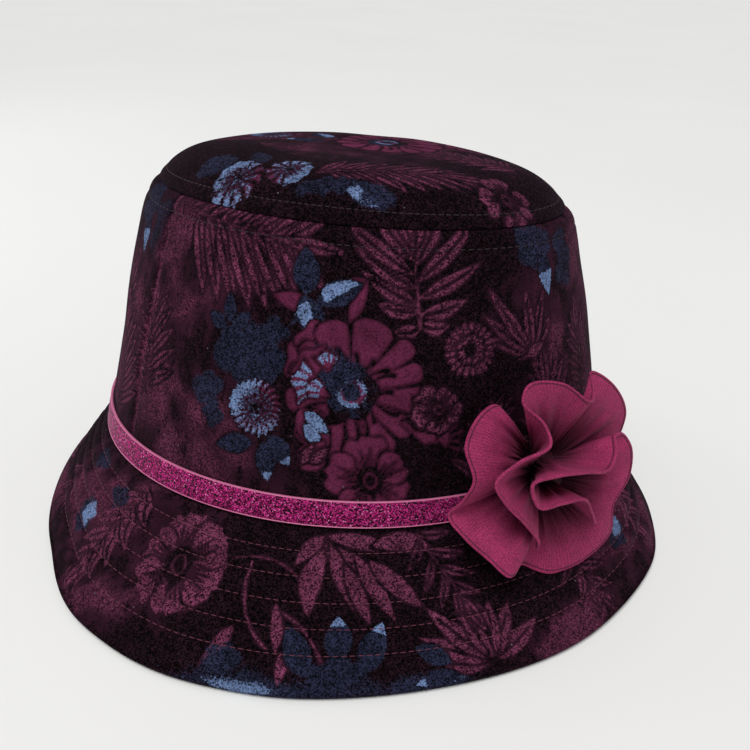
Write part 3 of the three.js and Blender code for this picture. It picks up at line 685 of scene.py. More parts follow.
# Motifs of the brim: motif, azimuth, share of the way out, turn, and sizes.
BRIM_MOTIFS = [
    (drift, 222, 0.35, 0, dict(width=40, height=36, depth=0.45, seed=3)),
    (fern, 221, 0.06, 172, dict(length=46, pairs=5, leaflet=16, width=5.4, open_from=50)),
    (blossom, 238, 0.39, 14, dict(radius=18, petals=6, tint="frond", seed=4)),
    (drift, 226, 0.8, 20, dict(width=50, height=16, depth=0.7, seed=26)),
    (drift, 208, 0.4, 20, dict(width=44, height=40, depth=0.8, seed=27)),
    (cloud, 209.5, 0.54, 0, dict(width=13, height=15, seed=3, lumps=5)),
    (cloud, 210.5, 0.5, 0, dict(width=8, height=11, tint="sky", seed=4, lumps=5)),
    (cloud, 215.5, 0.24, 0, dict(width=11, height=9, seed=5, lumps=4)),
    (cloud, 202.5, 0.17, 0, dict(width=12, height=9, seed=7, lumps=4)),
    (stem, 247.5, 0.27, -8, dict(length=27, rise=4)),
    (stem, 252, 0.24, -62, dict(length=30, rise=-5, width=1.6)),
    (stem, 258, 0.5, -38, dict(length=26, rise=3, width=1.4)),
    (leaf, 258.5, 0.46, 196, dict(length=20, width=4.6, tint="frond")),
    (leaf, 262, 0.62, 176, dict(length=18, width=5.0, tint="frond")),
    (leaf, 252.5, 0.62, 150, dict(length=16, width=5.0, tint="frond")),
    (cloud, 252, 0.82, 0, dict(width=15, height=10, seed=10, lumps=5)),
    (fan, 266.5, 0.06, 180, dict(leaflets=SPRAY_LEAFLETS, width=5.6, vein=0)),
    (leaf, 266.5, 0.14, 172, dict(length=22, width=8.4, tint="frond", bend=2.2)),
    (leaf, 271, 0.22, 206, dict(length=22, width=5.4, tint="frond")),
    (leaf, 273, 0.16, 213, dict(length=27, width=5.8, tint="frond")),
    (leaf, 276, 0.2, 228, dict(length=25, width=6.6, tint="frond")),
    (leaf, 276.5, 0.12, 262, dict(length=23, width=7.0, tint="frond", bend=-3)),
    (leaf, 270.5, 0.78, 2, dict(length=14, width=9.4, tip=0.78)),
    (leaf, 274.5, 0.85, -24, dict(length=17, width=9.4, tip=0.8)),
    (leaf, 265.5, 0.86, 28, dict(length=17, width=9.0)),
    (cloud, 270, 0.86, 0, dict(width=24, height=11, seed=13)),
    (drift, 312, 0.9, 4, dict(width=56, height=18, depth=1.2, seed=21)),
    (drift, 262, 0.97, 0, dict(width=64, height=9, tint="navy", depth=0.8, seed=22)),
    (drift, 286, 0.97, 3, dict(width=30, height=9, tint="navy", depth=1.0, seed=23)),
    (drift, 288, 0.93, 8, dict(width=14, height=4, tint="sky", depth=0.7, seed=24)),
    (drift, 256, 0.97, 0, dict(width=16, height=3.5, tint="sky", depth=0.5, seed=25)),
    (fan, 296, 0.88, 6, dict(leaflets=SUNBURST_LEAFLETS, width=7.0)),
    (fern, 287, 0.05, 208, dict(length=38, pairs=5, leaflet=12, width=3.8)),
    (leaf, 289, 0.84, 60, dict(length=13, width=6.5)),
    (leaf, 290, 0.92, 96, dict(length=16, width=6.5, tip=0.75)),
    (fern, 318, 0.4, 196, dict(length=30, pairs=4, leaflet=13, width=4.0)),
]
# Shares of the way out that the print takes round the brim's outline, which goes from 0 to 2.
BRIM_PRINT_SHARES = (
    (0, 0), (1, 0.94), (1.12, 1), (1.23, 1.02), (1.34, 1.03), (1.45, 1.04), (1.56, 0.89), (1.67, 0.75),
    (1.78, 0.35), (1.89, 0), (2, 0),
)

# Motifs of the tip: motif, mm forward, mm to the left, turn, and sizes.
TIP_MOTIFS = [
    (drift, 20, 20, 30, dict(width=120, height=60, depth=0.5, seed=8)),
    (fern, -12, -47, -82, dict(length=58, pairs=8, leaflet=16, width=4.4, open_from=50)),
    (blossom, 50, -45, 30, dict(radius=10, petals=4, tint="frond", seed=8)),
    (rays, -38, -42, 0, dict(radius=9, count=11, seed=7)),
    (rays, -21, -43, 0, dict(radius=8, count=11, seed=9)),
    (leaf, -30, -36, 20, dict(length=13, width=7)),
    (cloud, -47, -30, 0, dict(width=15, height=11, seed=2)),
    (leaf, -2, -52, 236, dict(length=14, width=8, side=1)),
    (cloud, -8, -53, 0, dict(width=26, height=7, seed=5)),
    (cloud, 8, -57, 0, dict(width=14, height=8, seed=3, lumps=5)),
    (fern, 56, -20, 60, dict(length=44, pairs=7, leaflet=15, width=4.4)),
    (fern, -60, 8, -60, dict(length=44, pairs=7, leaflet=15, width=4.4)),
    (bloom, 10, 14, 0, dict(radius=22, seed=6)),
    (blossom, 46, 22, 20, dict(radius=13)),
    (leaf, -14, 10, 74, dict(length=16, width=8, tip=0.8)),
    (leaf, -12, 18, 30, dict(length=15, width=8, side=1)),
    (fern, -20, 52, -80, dict(length=48, pairs=7, leaflet=14, width=4.2)),
    (rays, -36, 26, 0, dict(radius=9)),
]


def panel_arc(radii):
    """Length along a closed outline up to each whole degree, from its radii in mm."""
    points = around(np.arange(361.0), radii, 0.0)
    steps = np.linalg.norm(np.diff(points, axis=0), axis=1)
    return np.concatenate([[0.0], np.cumsum(steps)])


def panel_print(arc, azimuth, swell, up, motifs, level_scale):
    """Draws a motif table round a panel, as often as the print repeats.

    arc is the length up to each whole degree, and swell is how much longer the panel is at a point.
    """
    total = arc[-1]
    here = np.interp(azimuth % 360, np.arange(361.0), arc)
    drawing = Print(lambda along: ((here - along + total / 2) % total - total / 2) * swell, up)
    for repeat in reversed(range(PRINT_REPEATS)):
        for motif, middle, level, turn, sizes in motifs:
            along = np.interp(middle % 360, np.arange(361.0), arc) + repeat * total / PRINT_REPEATS
            drawing.stamp(motif, along, level * level_scale, turn, sizes)
    return drawing


# Materials

def node(tree, kind, inputs=None, **settings):
    """Adds a shader node of a kind with its settings, values and links."""
    made = tree.nodes.new("ShaderNode" + kind)
    for name, value in settings.items():
        setattr(made, name, value)
    for socket, value in (inputs or {}).items():
        if isinstance(value, bpy.types.NodeSocket):
            tree.links.new(value, made.inputs[socket])
        else:
            made.inputs[socket].default_value = value
    return made


def shared(make, *arguments):
    """A material that several pieces share. make builds its shader in an empty tree on first use."""
    name = arguments[0] if arguments else make.__name__
    material = bpy.data.materials.get(name)
    if material is None:
        material = bpy.data.materials.new(name)
        material.use_nodes = True
        tree = material.node_tree
        tree.nodes.clear()
        shader = make(tree, node(tree, "TexCoord").outputs["Object"], *arguments[1:])
        node(tree, "OutputMaterial", {"Surface": shader.outputs[0]})
    return material


def printed_velvet(tree, place):
    """Viscose velvet, woven with a cut pile, then burnt-out and pressed with a printed floral.

    The pile drinks light and shows a greyish sheen where it is seen edge on, the pressed flowers lie
    smooth and matt, and the mottled leaves are half pressed, so ground shows through them.
    """
    colours = bpy.context.scene.hat_colours
    layers = {}
    for attribute, names in PRINT_ATTRIBUTES.items():
        stored = node(tree, "Attribute", attribute_name=attribute).outputs["Vector"]
        parts = node(tree, "SeparateXYZ", {"Vector": stored}).outputs
        layers[names[0]], layers[names[1]] = parts[0], parts[1]
    combed = node(tree, "VectorMath", {0: place, 1: (1.0, 1.0, 0.4)}, operation="MULTIPLY").outputs[0]
    # Pile tufts are about 0.3 mm, drawn at about 0.5 mm so that they show. The other rows are clumps of
    # pile, streaks of the combed nap, its broken patches, and the crushed areas of a worn hat.
    noise = {name: node(tree, "TexNoise", {"Vector": source, "Scale": 1 / (size * MM), "Detail": detail,
                                           "Roughness": rough}).outputs["Fac"]
             for name, source, size, detail, rough in (
                 ("tuft", place, 0.5, 2.0, 0.7), ("clump", place, 0.8, 3.0, 0.65),
                 ("streak", combed, 1.7, 3.0, 0.65), ("patch", combed, 5.0, 2.0, 0.6),
                 ("crush", place, 14.0, 3.0, 0.55))}
    # Each tuft catches the light its own way, and that glint is painted into the colour as a random
    # brightness for each tuft.
    tufts = node(tree, "TexVoronoi", {"Vector": place, "Scale": 1 / (0.45 * MM)}).outputs["Color"]
    chance = node(tree, "SeparateColor", {"Color": tufts}).outputs[0]
    edge = node(tree, "Math", {0: noise["clump"], 1: 0.5}, operation="SUBTRACT").outputs[0]
    # The grain, which carries the tufts' painted glint, is about even between 0 and 2, with the fine tufts
    # over soft streaks.
    grain = noise["tuft"]
    for part, amount in ((chance, 0.9), (noise["streak"], 0.8)):
        grain = node(tree, "Math", {0: part, 1: amount, 2: grain}, operation="MULTIPLY_ADD").outputs[0]
    # A slower unevenness breaks the half-pressed leaves into patches of a few mm.
    patchy = node(tree, "Math", {0: noise["patch"], 1: 1.3, 2: -0.62}, operation="MULTIPLY_ADD").outputs[0]
    patchy = node(tree, "Math", {0: edge, 1: patchy}, operation="ADD").outputs[0]

    # Each colour goes from dark to light over a range of the grain. A layer's edge is softened over its width
    # in mm and broken by an amount of its jitter. Where a pressed shape curves down at its edge, painted
    # shade darkens it to its rim colour over its depth in mm.
    ground = dict(dark="#030102", light=colours.ground, low=1.2, high=1.9)
    table = {
        "frond": dict(dark="#170910", light=colours.frond, low=1.0, high=1.95, jitter=patchy, width=0.32,
                      amount=1.8, rim="#2c1320", depth=0.7),
        "wine": dict(dark="#2c0e1d", light=colours.wine, low=0.6, high=1.5, jitter=edge, width=0.22,
                     amount=1.3, rim="#3c1528", depth=1.1),
        "navy": dict(dark="#08080f", light=colours.navy, low=1.0, high=1.95, jitter=edge, width=0.3,
                     amount=1.9),
        "sky": dict(dark="#2b2e4c", light=colours.sky, low=0.8, high=1.55, jitter=edge, width=0.25,
                    amount=2.2),
    }

    def speckled(look):
        """A colour that varies between two with the pile's grain."""
        spread = node(tree, "MapRange", {"Value": grain, "From Min": look["low"], "From Max": look["high"]})
        return node(tree, "Mix", {"Factor": spread.outputs["Result"], 6: hex_colour(look["dark"]),
                                  7: tuple(look["light"])}, data_type="RGBA").outputs[2]

    shown = speckled(ground)
    masks, rises = {}, {}
    for name in LAYERS:
        look, reach = table[name], layers[name]
        rough = node(tree, "Math", {0: look["jitter"], 1: look["amount"], 2: reach},
                     operation="MULTIPLY_ADD").outputs[0]
        masks[name] = node(tree, "MapRange", {"Value": rough, "From Min": -look["width"],
                                              "From Max": look["width"]},
                           interpolation_type="SMOOTHSTEP").outputs["Result"]
        colour = speckled(look)
        # Painted shade: a pressed shape is darkened to its rim colour where its relief curves down at the
        # edge.
        if "rim" in look:
            rises[name] = node(tree, "MapRange", {"Value": reach, "From Min": 0.0, "From Max": look["depth"]},
                               interpolation_type="SMOOTHSTEP").outputs["Result"]
            colour = node(tree, "Mix", {"Factor": rises[name], 6: hex_colour(look["rim"]), 7: colour},
                          data_type="RGBA").outputs[2]
        shown = node(tree, "Mix", {"Factor": masks[name], 6: shown, 7: colour}, data_type="RGBA").outputs[2]

    # The nap lies one way here and another there, which lightens and darkens whole areas.
    nap = node(tree, "MapRange", {"Value": noise["crush"], "From Min": 0.3, "From Max": 0.7,
                                  "To Min": 0.72, "To Max": 1.3}).outputs["Result"]
    shown = node(tree, "VectorMath", {0: shown, "Scale": nap}, operation="SCALE").outputs[0]
    # Specks of lint, one every centimetre or so, each under a millimetre across.
    speck = node(tree, "TexVoronoi", {"Vector": place, "Scale": 1 / (9 * MM)}).outputs["Distance"]
    lint = node(tree, "MapRange", {"Value": speck, "From Min": 0.045, "From Max": 0.02,
                                   "To Max": 0.5}).outputs["Result"]
    shown = node(tree, "Mix", {"Factor": lint, 6: shown, 7: hex_colour("#8d7f86")},
                 data_type="RGBA").outputs[2]
    flat = node(tree, "Math", {0: masks["wine"], 1: -0.6, 2: 1.0}, operation="MULTIPLY_ADD").outputs[0]
    pile = node(tree, "Math", {0: noise["tuft"], 1: flat}, operation="MULTIPLY").outputs[0]
    rise = node(tree, "Math", {0: rises["wine"], 1: rises["frond"]}, operation="MAXIMUM").outputs[0]
    height = node(tree, "Math", {0: rise, 1: 1.1, 2: pile}, operation="MULTIPLY_ADD").outputs[0]
    bump = node(tree, "Bump", {"Height": height, "Strength": 0.6, "Distance": 0.5 * MM})
    return node(tree, "BsdfPrincipled", {
        "Base Color": shown, "Roughness": 0.95, "Specular IOR Level": 0.05, "Sheen Weight": 0.05,
        "Sheen Roughness": 0.36, "Sheen Tint": hex_colour("#c08fb4"), "Normal": bump.outputs["Normal"]})


def velvet_backing(tree, place):
    """The woven back of the velvet, a plain matt cloth with a fine weave and no pile."""
    thread = node(tree, "TexNoise", {"Vector": place, "Scale": 1 / (0.8 * MM), "Detail": 2.0}).outputs["Fac"]
    colour = node(tree, "Mix", {"Factor": thread, 6: hex_colour("#170c12"), 7: hex_colour("#2e1a26")},
                  data_type="RGBA").outputs[2]
    bump = node(tree, "Bump", {"Height": thread, "Strength": 0.3, "Distance": 0.3 * MM})
    return node(tree, "BsdfPrincipled", {
        "Base Color": colour, "Roughness": 0.9, "Specular IOR Level": 0.15, "Sheen Weight": 0.1,
        "Normal": bump.outputs["Normal"]})


def foil_glitter(tree, place):
    """Polyester ribbon coated with hexagonal cut foil flakes in magenta.

    Each flake tips its own way, so some flash almost white and their neighbours stay near black. The flash is
    partly real, from each flake's tipped normal, and partly a painted glint, a random brightness in the
    flake's colour.
    """
    # Flakes are 0.4 mm across.
    flakes = node(tree, "TexVoronoi", {"Vector": place, "Scale": 1 / (0.4 * MM),
                                       "Randomness": 0.9}).outputs["Color"]
    chance = node(tree, "SeparateColor", {"Color": flakes}).outputs[0]
    # Painted glint: each flake's colour takes a random brightness from near black to almost white.
    ramp = node(tree, "ValToRGB", {"Fac": chance})
    stops = ramp.color_ramp.elements
    stops[0].position, stops[0].color = 0.0, hex_colour("#2a0d1c")
    stops[1].position, stops[1].color = 1.0, hex_colour("#ee9bce")
    for position, code in ((0.4, "#26061a"), (0.45, "#8a1255"), (0.75, "#bb2277"), (0.95, "#e04f9c")):
        stops.new(position).color = hex_colour(code)
    tint = tuple(bpy.context.scene.hat_colours.glitter)
    tinted = node(tree, "Mix", {"Factor": 1.0, 6: ramp.outputs["Color"], 7: tint}, data_type="RGBA",
                  blend_type="MULTIPLY").outputs[2]
    tipped = node(tree, "VectorMath", {0: flakes, 1: (0.5, 0.5, 0.5)}, operation="SUBTRACT").outputs[0]
    tipped = node(tree, "VectorMath", {0: tipped, "Scale": 0.9}, operation="SCALE").outputs[0]
    facing = node(tree, "NewGeometry").outputs["Normal"]
    normal = node(tree, "VectorMath", {0: facing, 1: tipped}, operation="ADD").outputs[0]
    normal = node(tree, "VectorMath", {0: normal}, operation="NORMALIZE").outputs[0]
    return node(tree, "BsdfPrincipled", {
        "Base Color": tinted, "Roughness": 0.45, "Metallic": 0.15, "Specular IOR Level": 0.08,
        "Normal": normal})


def satin_edge(tree, place):
    """The ribbon's woven satin edges: tight bright threads with a soft shine along the edge."""
    thread = node(tree, "TexNoise", {"Vector": place, "Scale": 1 / (0.6 * MM), "Detail": 2.0}).outputs["Fac"]
    bright = tuple(bpy.context.scene.hat_colours.satin)
    colour = node(tree, "Mix", {"Factor": thread, 6: hex_colour("#a34570"), 7: bright},
                  data_type="RGBA").outputs[2]
    bump = node(tree, "Bump", {"Height": thread, "Strength": 0.25, "Distance": 0.2 * MM})
    return node(tree, "BsdfPrincipled", {
        "Base Color": colour, "Roughness": 0.4, "Sheen Weight": 0.1, "Normal": bump.outputs["Normal"]})


def twill_crepe(tree, place):
    """Polyester crepe ribbon, woven in a fine twill and folded double.

    It is matt, lighter where it turns to the light, and faint ribs run across it from root to hem.
    """
    strip = node(tree, "Attribute", attribute_name="strip").outputs["Vector"]
    # Twill ribs are about 0.3 mm apart, drawn about 1 mm apart so that they show.
    twill = node(tree, "TexWave", {"Vector": strip, "Scale": 0.31, "Distortion": 1.2, "Detail": 1.0,
                                   "Detail Scale": 2.0}, bands_direction="DIAGONAL").outputs["Fac"]
    grain = node(tree, "TexNoise", {"Vector": place, "Scale": 1 / (0.5 * MM), "Detail": 3.0,
                                    "Roughness": 0.7}).outputs["Fac"]
    cloudy = node(tree, "TexNoise", {"Vector": place, "Scale": 1 / (7 * MM), "Detail": 3.0}).outputs["Fac"]
    weave = node(tree, "Math", {0: twill, 1: 0.1, 2: grain}, operation="MULTIPLY_ADD").outputs[0]
    spread = node(tree, "MapRange", {"Value": weave, "From Min": 0.36, "From Max": 0.72}).outputs["Result"]
    light = tuple(bpy.context.scene.hat_colours.crepe)
    colour = node(tree, "Mix", {"Factor": spread, 6: hex_colour("#681a3c"), 7: light},
                  data_type="RGBA").outputs[2]
    # Painted shade: the colour is darkened towards the gathered root, where little light gets down, and along
    # the sewn line inside the hem, which lies in a groove.
    parts = node(tree, "SeparateXYZ", {"Vector": strip}).outputs
    depth = node(tree, "MapRange", {"Value": parts[1], "From Min": 3.0, "From Max": 31.0, "To Min": 0.14,
                                    "To Max": 1.0}, interpolation_type="SMOOTHSTEP").outputs["Result"]
    off = node(tree, "Math", {0: parts[2], 1: HEM_WIDTH}, operation="SUBTRACT").outputs[0]
    off = node(tree, "Math", {0: off}, operation="ABSOLUTE").outputs[0]
    groove = node(tree, "MapRange", {"Value": off, "From Min": 0.06, "From Max": 0.36, "To Min": 0.35,
                                     "To Max": 1.0}).outputs["Result"]
    shade = node(tree, "MapRange", {"Value": cloudy, "From Min": 0.3, "From Max": 0.7, "To Min": 0.86,
                                    "To Max": 1.12}).outputs["Result"]
    # Painted shade at the root and in the groove, times the cloth's own cloudy tone.
    painted_shade_and_tone = node(tree, "Math", {0: depth, 1: groove}, operation="MULTIPLY").outputs[0]
    painted_shade_and_tone = node(tree, "Math", {0: painted_shade_and_tone, 1: shade}, operation="MULTIPLY").outputs[0]
    colour = node(tree, "VectorMath", {0: colour, "Scale": painted_shade_and_tone}, operation="SCALE").outputs[0]
    bump = node(tree, "Bump", {"Height": weave, "Strength": 0.3, "Distance": 0.12 * MM})
    return node(tree, "BsdfPrincipled", {
        "Base Color": colour, "Roughness": 0.78, "Specular IOR Level": 0.2, "Sheen Weight": 0.08,
        "Sheen Roughness": 0.5, "Sheen Tint": hex_colour("#e0a0c0"), "Normal": bump.outputs["Normal"]})


def sewing_thread(tree, place, code):
    """Spun polyester sewing thread, matt with a slight twist that breaks its light."""
    twist = node(tree, "TexNoise", {"Vector": place, "Scale": 1 / (0.5 * MM), "Detail": 1.0}).outputs["Fac"]
    dark = tuple(0.55 * part for part in hex_colour(code)[:3]) + (1.0,)
    colour = node(tree, "Mix", {"Factor": twist, 6: dark, 7: hex_colour(code)}, data_type="RGBA").outputs[2]
    return node(tree, "BsdfPrincipled", {"Base Color": colour, "Roughness": 0.75, "Sheen Weight": 0.05})


def studio_floor(tree, place):
    """Matt painted board, plain and pale, with the faintest mottle."""
    mottle = node(tree, "TexNoise", {"Vector": place, "Scale": 3.0}).outputs["Fac"]
    colour = node(tree, "Mix", {"Factor": mottle, 6: hex_colour("#f0f0ee"), 7: hex_colour("#f6f6f4")},
                  data_type="RGBA").outputs[2]
    return node(tree, "BsdfPrincipled", {"Base Color": colour, "Roughness": 0.7})


def belongs(piece, slot, *nodes):
    """Lets a piece ride with the hat and stand for its nodes, whose parts it hides. The slot is not used."""
    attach(piece, "root")
    if nodes:
        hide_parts(*nodes)


# Pieces

def crown_side_surface(azimuth, fraction):
    """Outside of the crown's side, with its soft unevenness and its upright seam."""
    seam_off = turned_from(azimuth, BACK_SEAM["azimuth"])
    seam = BACK_SEAM["depth"] * np.exp(-(seam_off / BACK_SEAM["half_width"]) ** 2)
    pull = SEAM_PULL["depth"] * np.sin(2 * math.pi * fraction * SEAM_PULL["puckers"]) * np.exp(
        -(seam_off / SEAM_PULL["width"]) ** 2)
    calm = smooth_step(fraction, 0.13, 0.3) * (1 - smooth_step(fraction, 0.9, 0.97))
    uneven = soft_waves(np.radians(azimuth) + 1.5 * fraction, **SIDE_UNEVEN) * calm
    down = (1 - fraction) * SIDE_HEIGHT
    groove = SIDE_GROOVE["depth"] * np.exp(-(down - TOPSTITCH_SIDE) ** 2 / SIDE_GROOVE["width"])
    rounded = SIDE_TURN_IN["depth"] * np.clip(1 - down / SIDE_TURN_IN["width"], 0, 1) ** 2
    return side_point(azimuth, fraction, seam - uneven + pull + groove + rounded)


def wall_shares(v, wall):
    """Shares up the outside and back down the inside of a panel, and which points are inside."""
    shares = np.interp(v, [0, wall["outside"], wall["inside"], 1], [0, 1, 1, 0])
    return shares, v > (wall["outside"] + wall["inside"]) / 2


def crown_side_place(u, v):
    """The side's closed wall, its outside with the print and its inside plain."""
    azimuth = u * 360
    fraction, inside = wall_shares(v, SIDE_WALL)
    points = crown_side_surface(azimuth, fraction)
    points[inside] = side_point(azimuth[inside], fraction[inside], CROWN_WALL)
    arc = panel_arc(side_radius(np.arange(361.0), 0.5))
    swell = side_radius(azimuth, fraction) / side_radius(azimuth, 0.5)
    drawing = panel_print(arc, azimuth, swell, fraction * PRINT_HEIGHT, SIDE_MOTIFS, 1)
    # Painted highlight: a lighter line of the mottled layer is drawn within 1 mm of the upright seam.
    off_seam = np.abs(np.radians(turned_from(azimuth, BACK_SEAM["azimuth"]))) * side_radius(azimuth, fraction)
    drawing.layers["frond"] = np.maximum(drawing.layers["frond"], 1.0 - off_seam)
    return points, drawing.attributes()


def tip_surface(azimuth, share):
    """Outside of the crown's tip, a shallow dome with a soft unevenness and a rolled edge."""
    seam = side_radius(azimuth, 1.0)
    angle = np.radians(azimuth)
    edge_off = (1 - share) * seam
    groove = TIP_GROOVE["depth"] * np.exp(-((edge_off - TOPSTITCH_TIP) / TIP_GROOVE["width"]) ** 2)
    uneven = soft_waves(angle, **TIP_UNEVEN) * share ** 2 * (1 - share) * 4
    x, y = share * seam * np.cos(angle), share * seam * np.sin(angle)
    uneven = uneven + 0.35 * np.sin(x / 17 + 1) * np.sin(y / 13) * (1 - share ** 4)
    rounded = TIP_TURN_IN["depth"] * np.clip(1 - edge_off / TIP_TURN_IN["width"], 0, 1) ** 2
    above = SEAM_GAP / 2 + TIP_DOME * (1 - share ** TIP_DOME_POWER) - groove + uneven
    return tip_plane(azimuth, seam * share - rounded, above)


def crown_tip_place(u, v):
    """The tip's closed wall, from its middle out over the top and back underneath."""
    azimuth = u * 360
    share, inside = wall_shares(v, TIP_WALL)
    points = tip_surface(azimuth, share)
    seam = side_radius(azimuth, 1.0) - CROWN_WALL
    above = SEAM_GAP / 2 + (TIP_DOME - CROWN_WALL) * (1 - share ** TIP_DOME_POWER)
    points[inside] = tip_plane(azimuth, seam * share, above)[inside]
    drawing = Print(lambda along: points[:, 0] - along, points[:, 1])
    for motif, forward, left, turn, sizes in TIP_MOTIFS:
        drawing.stamp(motif, forward, left, turn, sizes)
    return points, drawing.attributes()


def quilt_lift(azimuth, share):
    """Height of the quilted brim over its slant: down at each stitched row, full between two."""
    row = (share - FIRST_ROW) / ROW_PITCH
    between = np.abs(np.sin(math.pi * row)) ** QUILT["sharpness"]
    angle = np.radians(azimuth)
    pucker = soft_waves(angle + 0.02 * np.round(row), **QUILT_PUCKER)
    lift = QUILT["puff"] * between - QUILT["sunk"] + pucker * between
    last = smooth_step(share, LAST_ROW, LAST_ROW + 0.02)
    roll = np.clip((share - LAST_ROW) / (1 - LAST_ROW), 0, 1)
    arch = np.sin(math.pi * np.clip(roll * HEM_ROLL["turn"], 0, 1)) ** HEM_ROLL["sharpness"]
    hem = HEM_ROLL["start"] + (HEM_PUFF + HEM_ROLL["rise"]) * arch
    hem = hem + soft_waves(angle, **HEM_PUCKER) * np.sin(math.pi * roll)
    lift = lift * (1 - last) + hem * last
    return lift * smooth_step(share, 0.0, 0.03) - 0.05


def brim_surface(azimuth, share):
    """Top of the quilted brim."""
    share = share + 0 * azimuth
    return brim_point(azimuth, share, quilt_lift(azimuth, share))


def brim_slant(azimuth, share):
    """The brim's slant without its quilting."""
    return brim_point(azimuth, share + 0 * azimuth, 0.0)


def brim_top_share(position):
    """Share of the brim's slant for 0 to 1 over its top, with rounds of the mesh on the stitched rows."""
    rows = np.arange(BRIM_ROWS)
    rounds = np.concatenate([[0], ROUNDS_TO_FIRST + rows * ROUNDS_A_ROW, [TOP_ROUNDS]])
    shares = np.concatenate([[0], FIRST_ROW + rows * ROW_PITCH, [HEM_SHARE]])
    return np.interp(position, rounds / TOP_ROUNDS, shares)


def brim_outline(azimuth, position):
    """Points of the brim's closed outline: 0 to 1 over the top, 1 to 2 round the hem and below."""
    edge = edge_radius(azimuth)
    foot = edge - HEM_ROUND / 2
    even = 0 * azimuth
    stations = np.stack([
        brim_surface(azimuth, HEM_SHARE),
        around(azimuth, edge - 0.05, HEM_ROUND + 0.3),
        *(around(azimuth, foot + out, height) for out, height in HEM_UNDERSIDE),
        brim_point(azimuth, HEM_INNER_SHARE + even, HEM_PUFF - HEM_THICKNESS),
        brim_point(azimuth, LAST_ROW + even, -BRIM_WALL + 0.3),
        brim_point(azimuth, UNDER_SHARE + even, -BRIM_WALL),
        around(azimuth, radius_at("crown_base", azimuth) - CROWN_WALL, BASE_HEIGHT - SEAM_GAP / 2),
        brim_surface(azimuth, 0.0),
    ])
    around_hem = np.clip(position - 1, 0, 1) * (len(stations) - 1)
    span = np.clip(np.floor(around_hem).astype(int), 0, len(stations) - 2)
    share = (around_hem - span)[:, None]
    column = np.arange(len(azimuth))
    before = stations[np.maximum(span - 1, 0), column]
    start, end = stations[span, column], stations[span + 1, column]
    after = stations[np.minimum(span + 2, len(stations) - 1), column]
    below = 0.5 * (2 * start + (end - before) * share
                   + (2 * before - 5 * start + 4 * end - after) * share ** 2
                   + (3 * start - before - 3 * end + after) * share ** 3)
    sharp = (span >= len(stations) - 3)[:, None]
    below = np.where(sharp, start + (end - start) * share, below)
    top = brim_surface(azimuth, brim_top_share(position))
    return np.where((position <= 1)[:, None], top, below)


def brim_place(u, v):
    """The brim's closed wall, with the print carried round the hem."""
    azimuth = u * 360
    position = np.interp(v, [0, TOP_ROUNDS / BRIM_ROUNDS, 1], [0, 1, 2])
    points = brim_outline(azimuth, position)
    share = np.interp(position, *zip(*BRIM_PRINT_SHARES))
    base, edge, turn = radius_at("crown_base", azimuth), edge_radius(azimuth), np.arange(361.0)
    slant = np.hypot(edge - base, BASE_HEIGHT).mean()
    arc = panel_arc((radius_at("crown_base", turn) + edge_radius(turn)) / 2)
    swell = np.hypot(points[:, 0], points[:, 1]) / ((base + edge) / 2)
    drawing = panel_print(arc, azimuth, swell, -share * slant, BRIM_MOTIFS, -slant)
    return points, drawing.attributes()


def ribbon_place(u, v):
    """The ribbon's closed outline: up its outer face, over the edge and down its back."""
    azimuth, edge = u * 360, SATIN_WIDTH
    foot = [(0.0, 0.5), (0.02, 0.85), (0.25 * edge, 1.0), (0.5 * edge, 1.05), (0.8 * edge, 1.0),
            (edge, 0.85), (edge + 0.3, 1.0)]
    head = [(RIBBON_WIDTH - up, out) for up, out in reversed(foot)]
    back = [(RIBBON_WIDTH - 0.2, 0.0), (0.2, 0.0), foot[0]]
    stations = np.array([*foot, (RIBBON_WIDTH / 2, 1.1), *head, *back])
    span, ends = v * (len(stations) - 1), np.arange(len(stations))
    up, out = np.interp(span, ends, stations[:, 0]), np.interp(span, ends, stations[:, 1])
    wall = side_radius(azimuth, up / SIDE_HEIGHT)
    return around(azimuth, wall + RIBBON_OFF + out, RIBBON_FOOT + up), {}


# Rosette

def unit(vectors):
    return vectors / np.maximum(np.linalg.norm(vectors, axis=1), 1e-9)[:, None]


def rosette_frame():
    """The rosette's own frame: rows are its right, up and outward directions, then its foot."""
    azimuth = ROSETTE["azimuth"]
    foot = around(np.array(azimuth), side_radius(np.array(azimuth), ROSETTE["up"]),
                  BASE_HEIGHT + ROSETTE["up"] * SIDE_HEIGHT)
    base = SECTIONS["crown_base"]
    outward = np.array([foot[0] / base["half_length"] ** 2, foot[1] / base["half_width"] ** 2, 0.0])
    outward /= np.linalg.norm(outward)
    right = np.cross([0.0, 0.0, 1.0], outward)
    tilt = math.radians(ROSETTE["tilt"])
    facing = outward * math.cos(tilt) + np.array([0.0, 0.0, math.sin(tilt)])
    return np.stack([right, np.cross(facing, right), facing]), foot


def clear_of_hat(points, clearance):
    """Moves points in the hat's frame out to where they are clear of it."""
    azimuth = np.degrees(np.arctan2(points[:, 1], points[:, 0]))
    height = points[:, 2]
    base = radius_at("crown_base", azimuth)
    brim = base + (edge_radius(azimuth) - base) * (1 - height / BASE_HEIGHT) + HEM_PUFF
    ribbon = np.where(height < BASE_HEIGHT + RIBBON_WIDTH + 1, RIBBON_STAND, 0)
    side = side_radius(azimuth, (height - BASE_HEIGHT) / SIDE_HEIGHT) + ribbon
    least = np.where(height < BASE_HEIGHT, brim, side) + clearance
    radius = np.hypot(points[:, 0], points[:, 1])
    grow = np.where(radius < least, least / radius, 1.0)
    return points * np.stack([grow, grow, np.ones_like(grow)], -1)


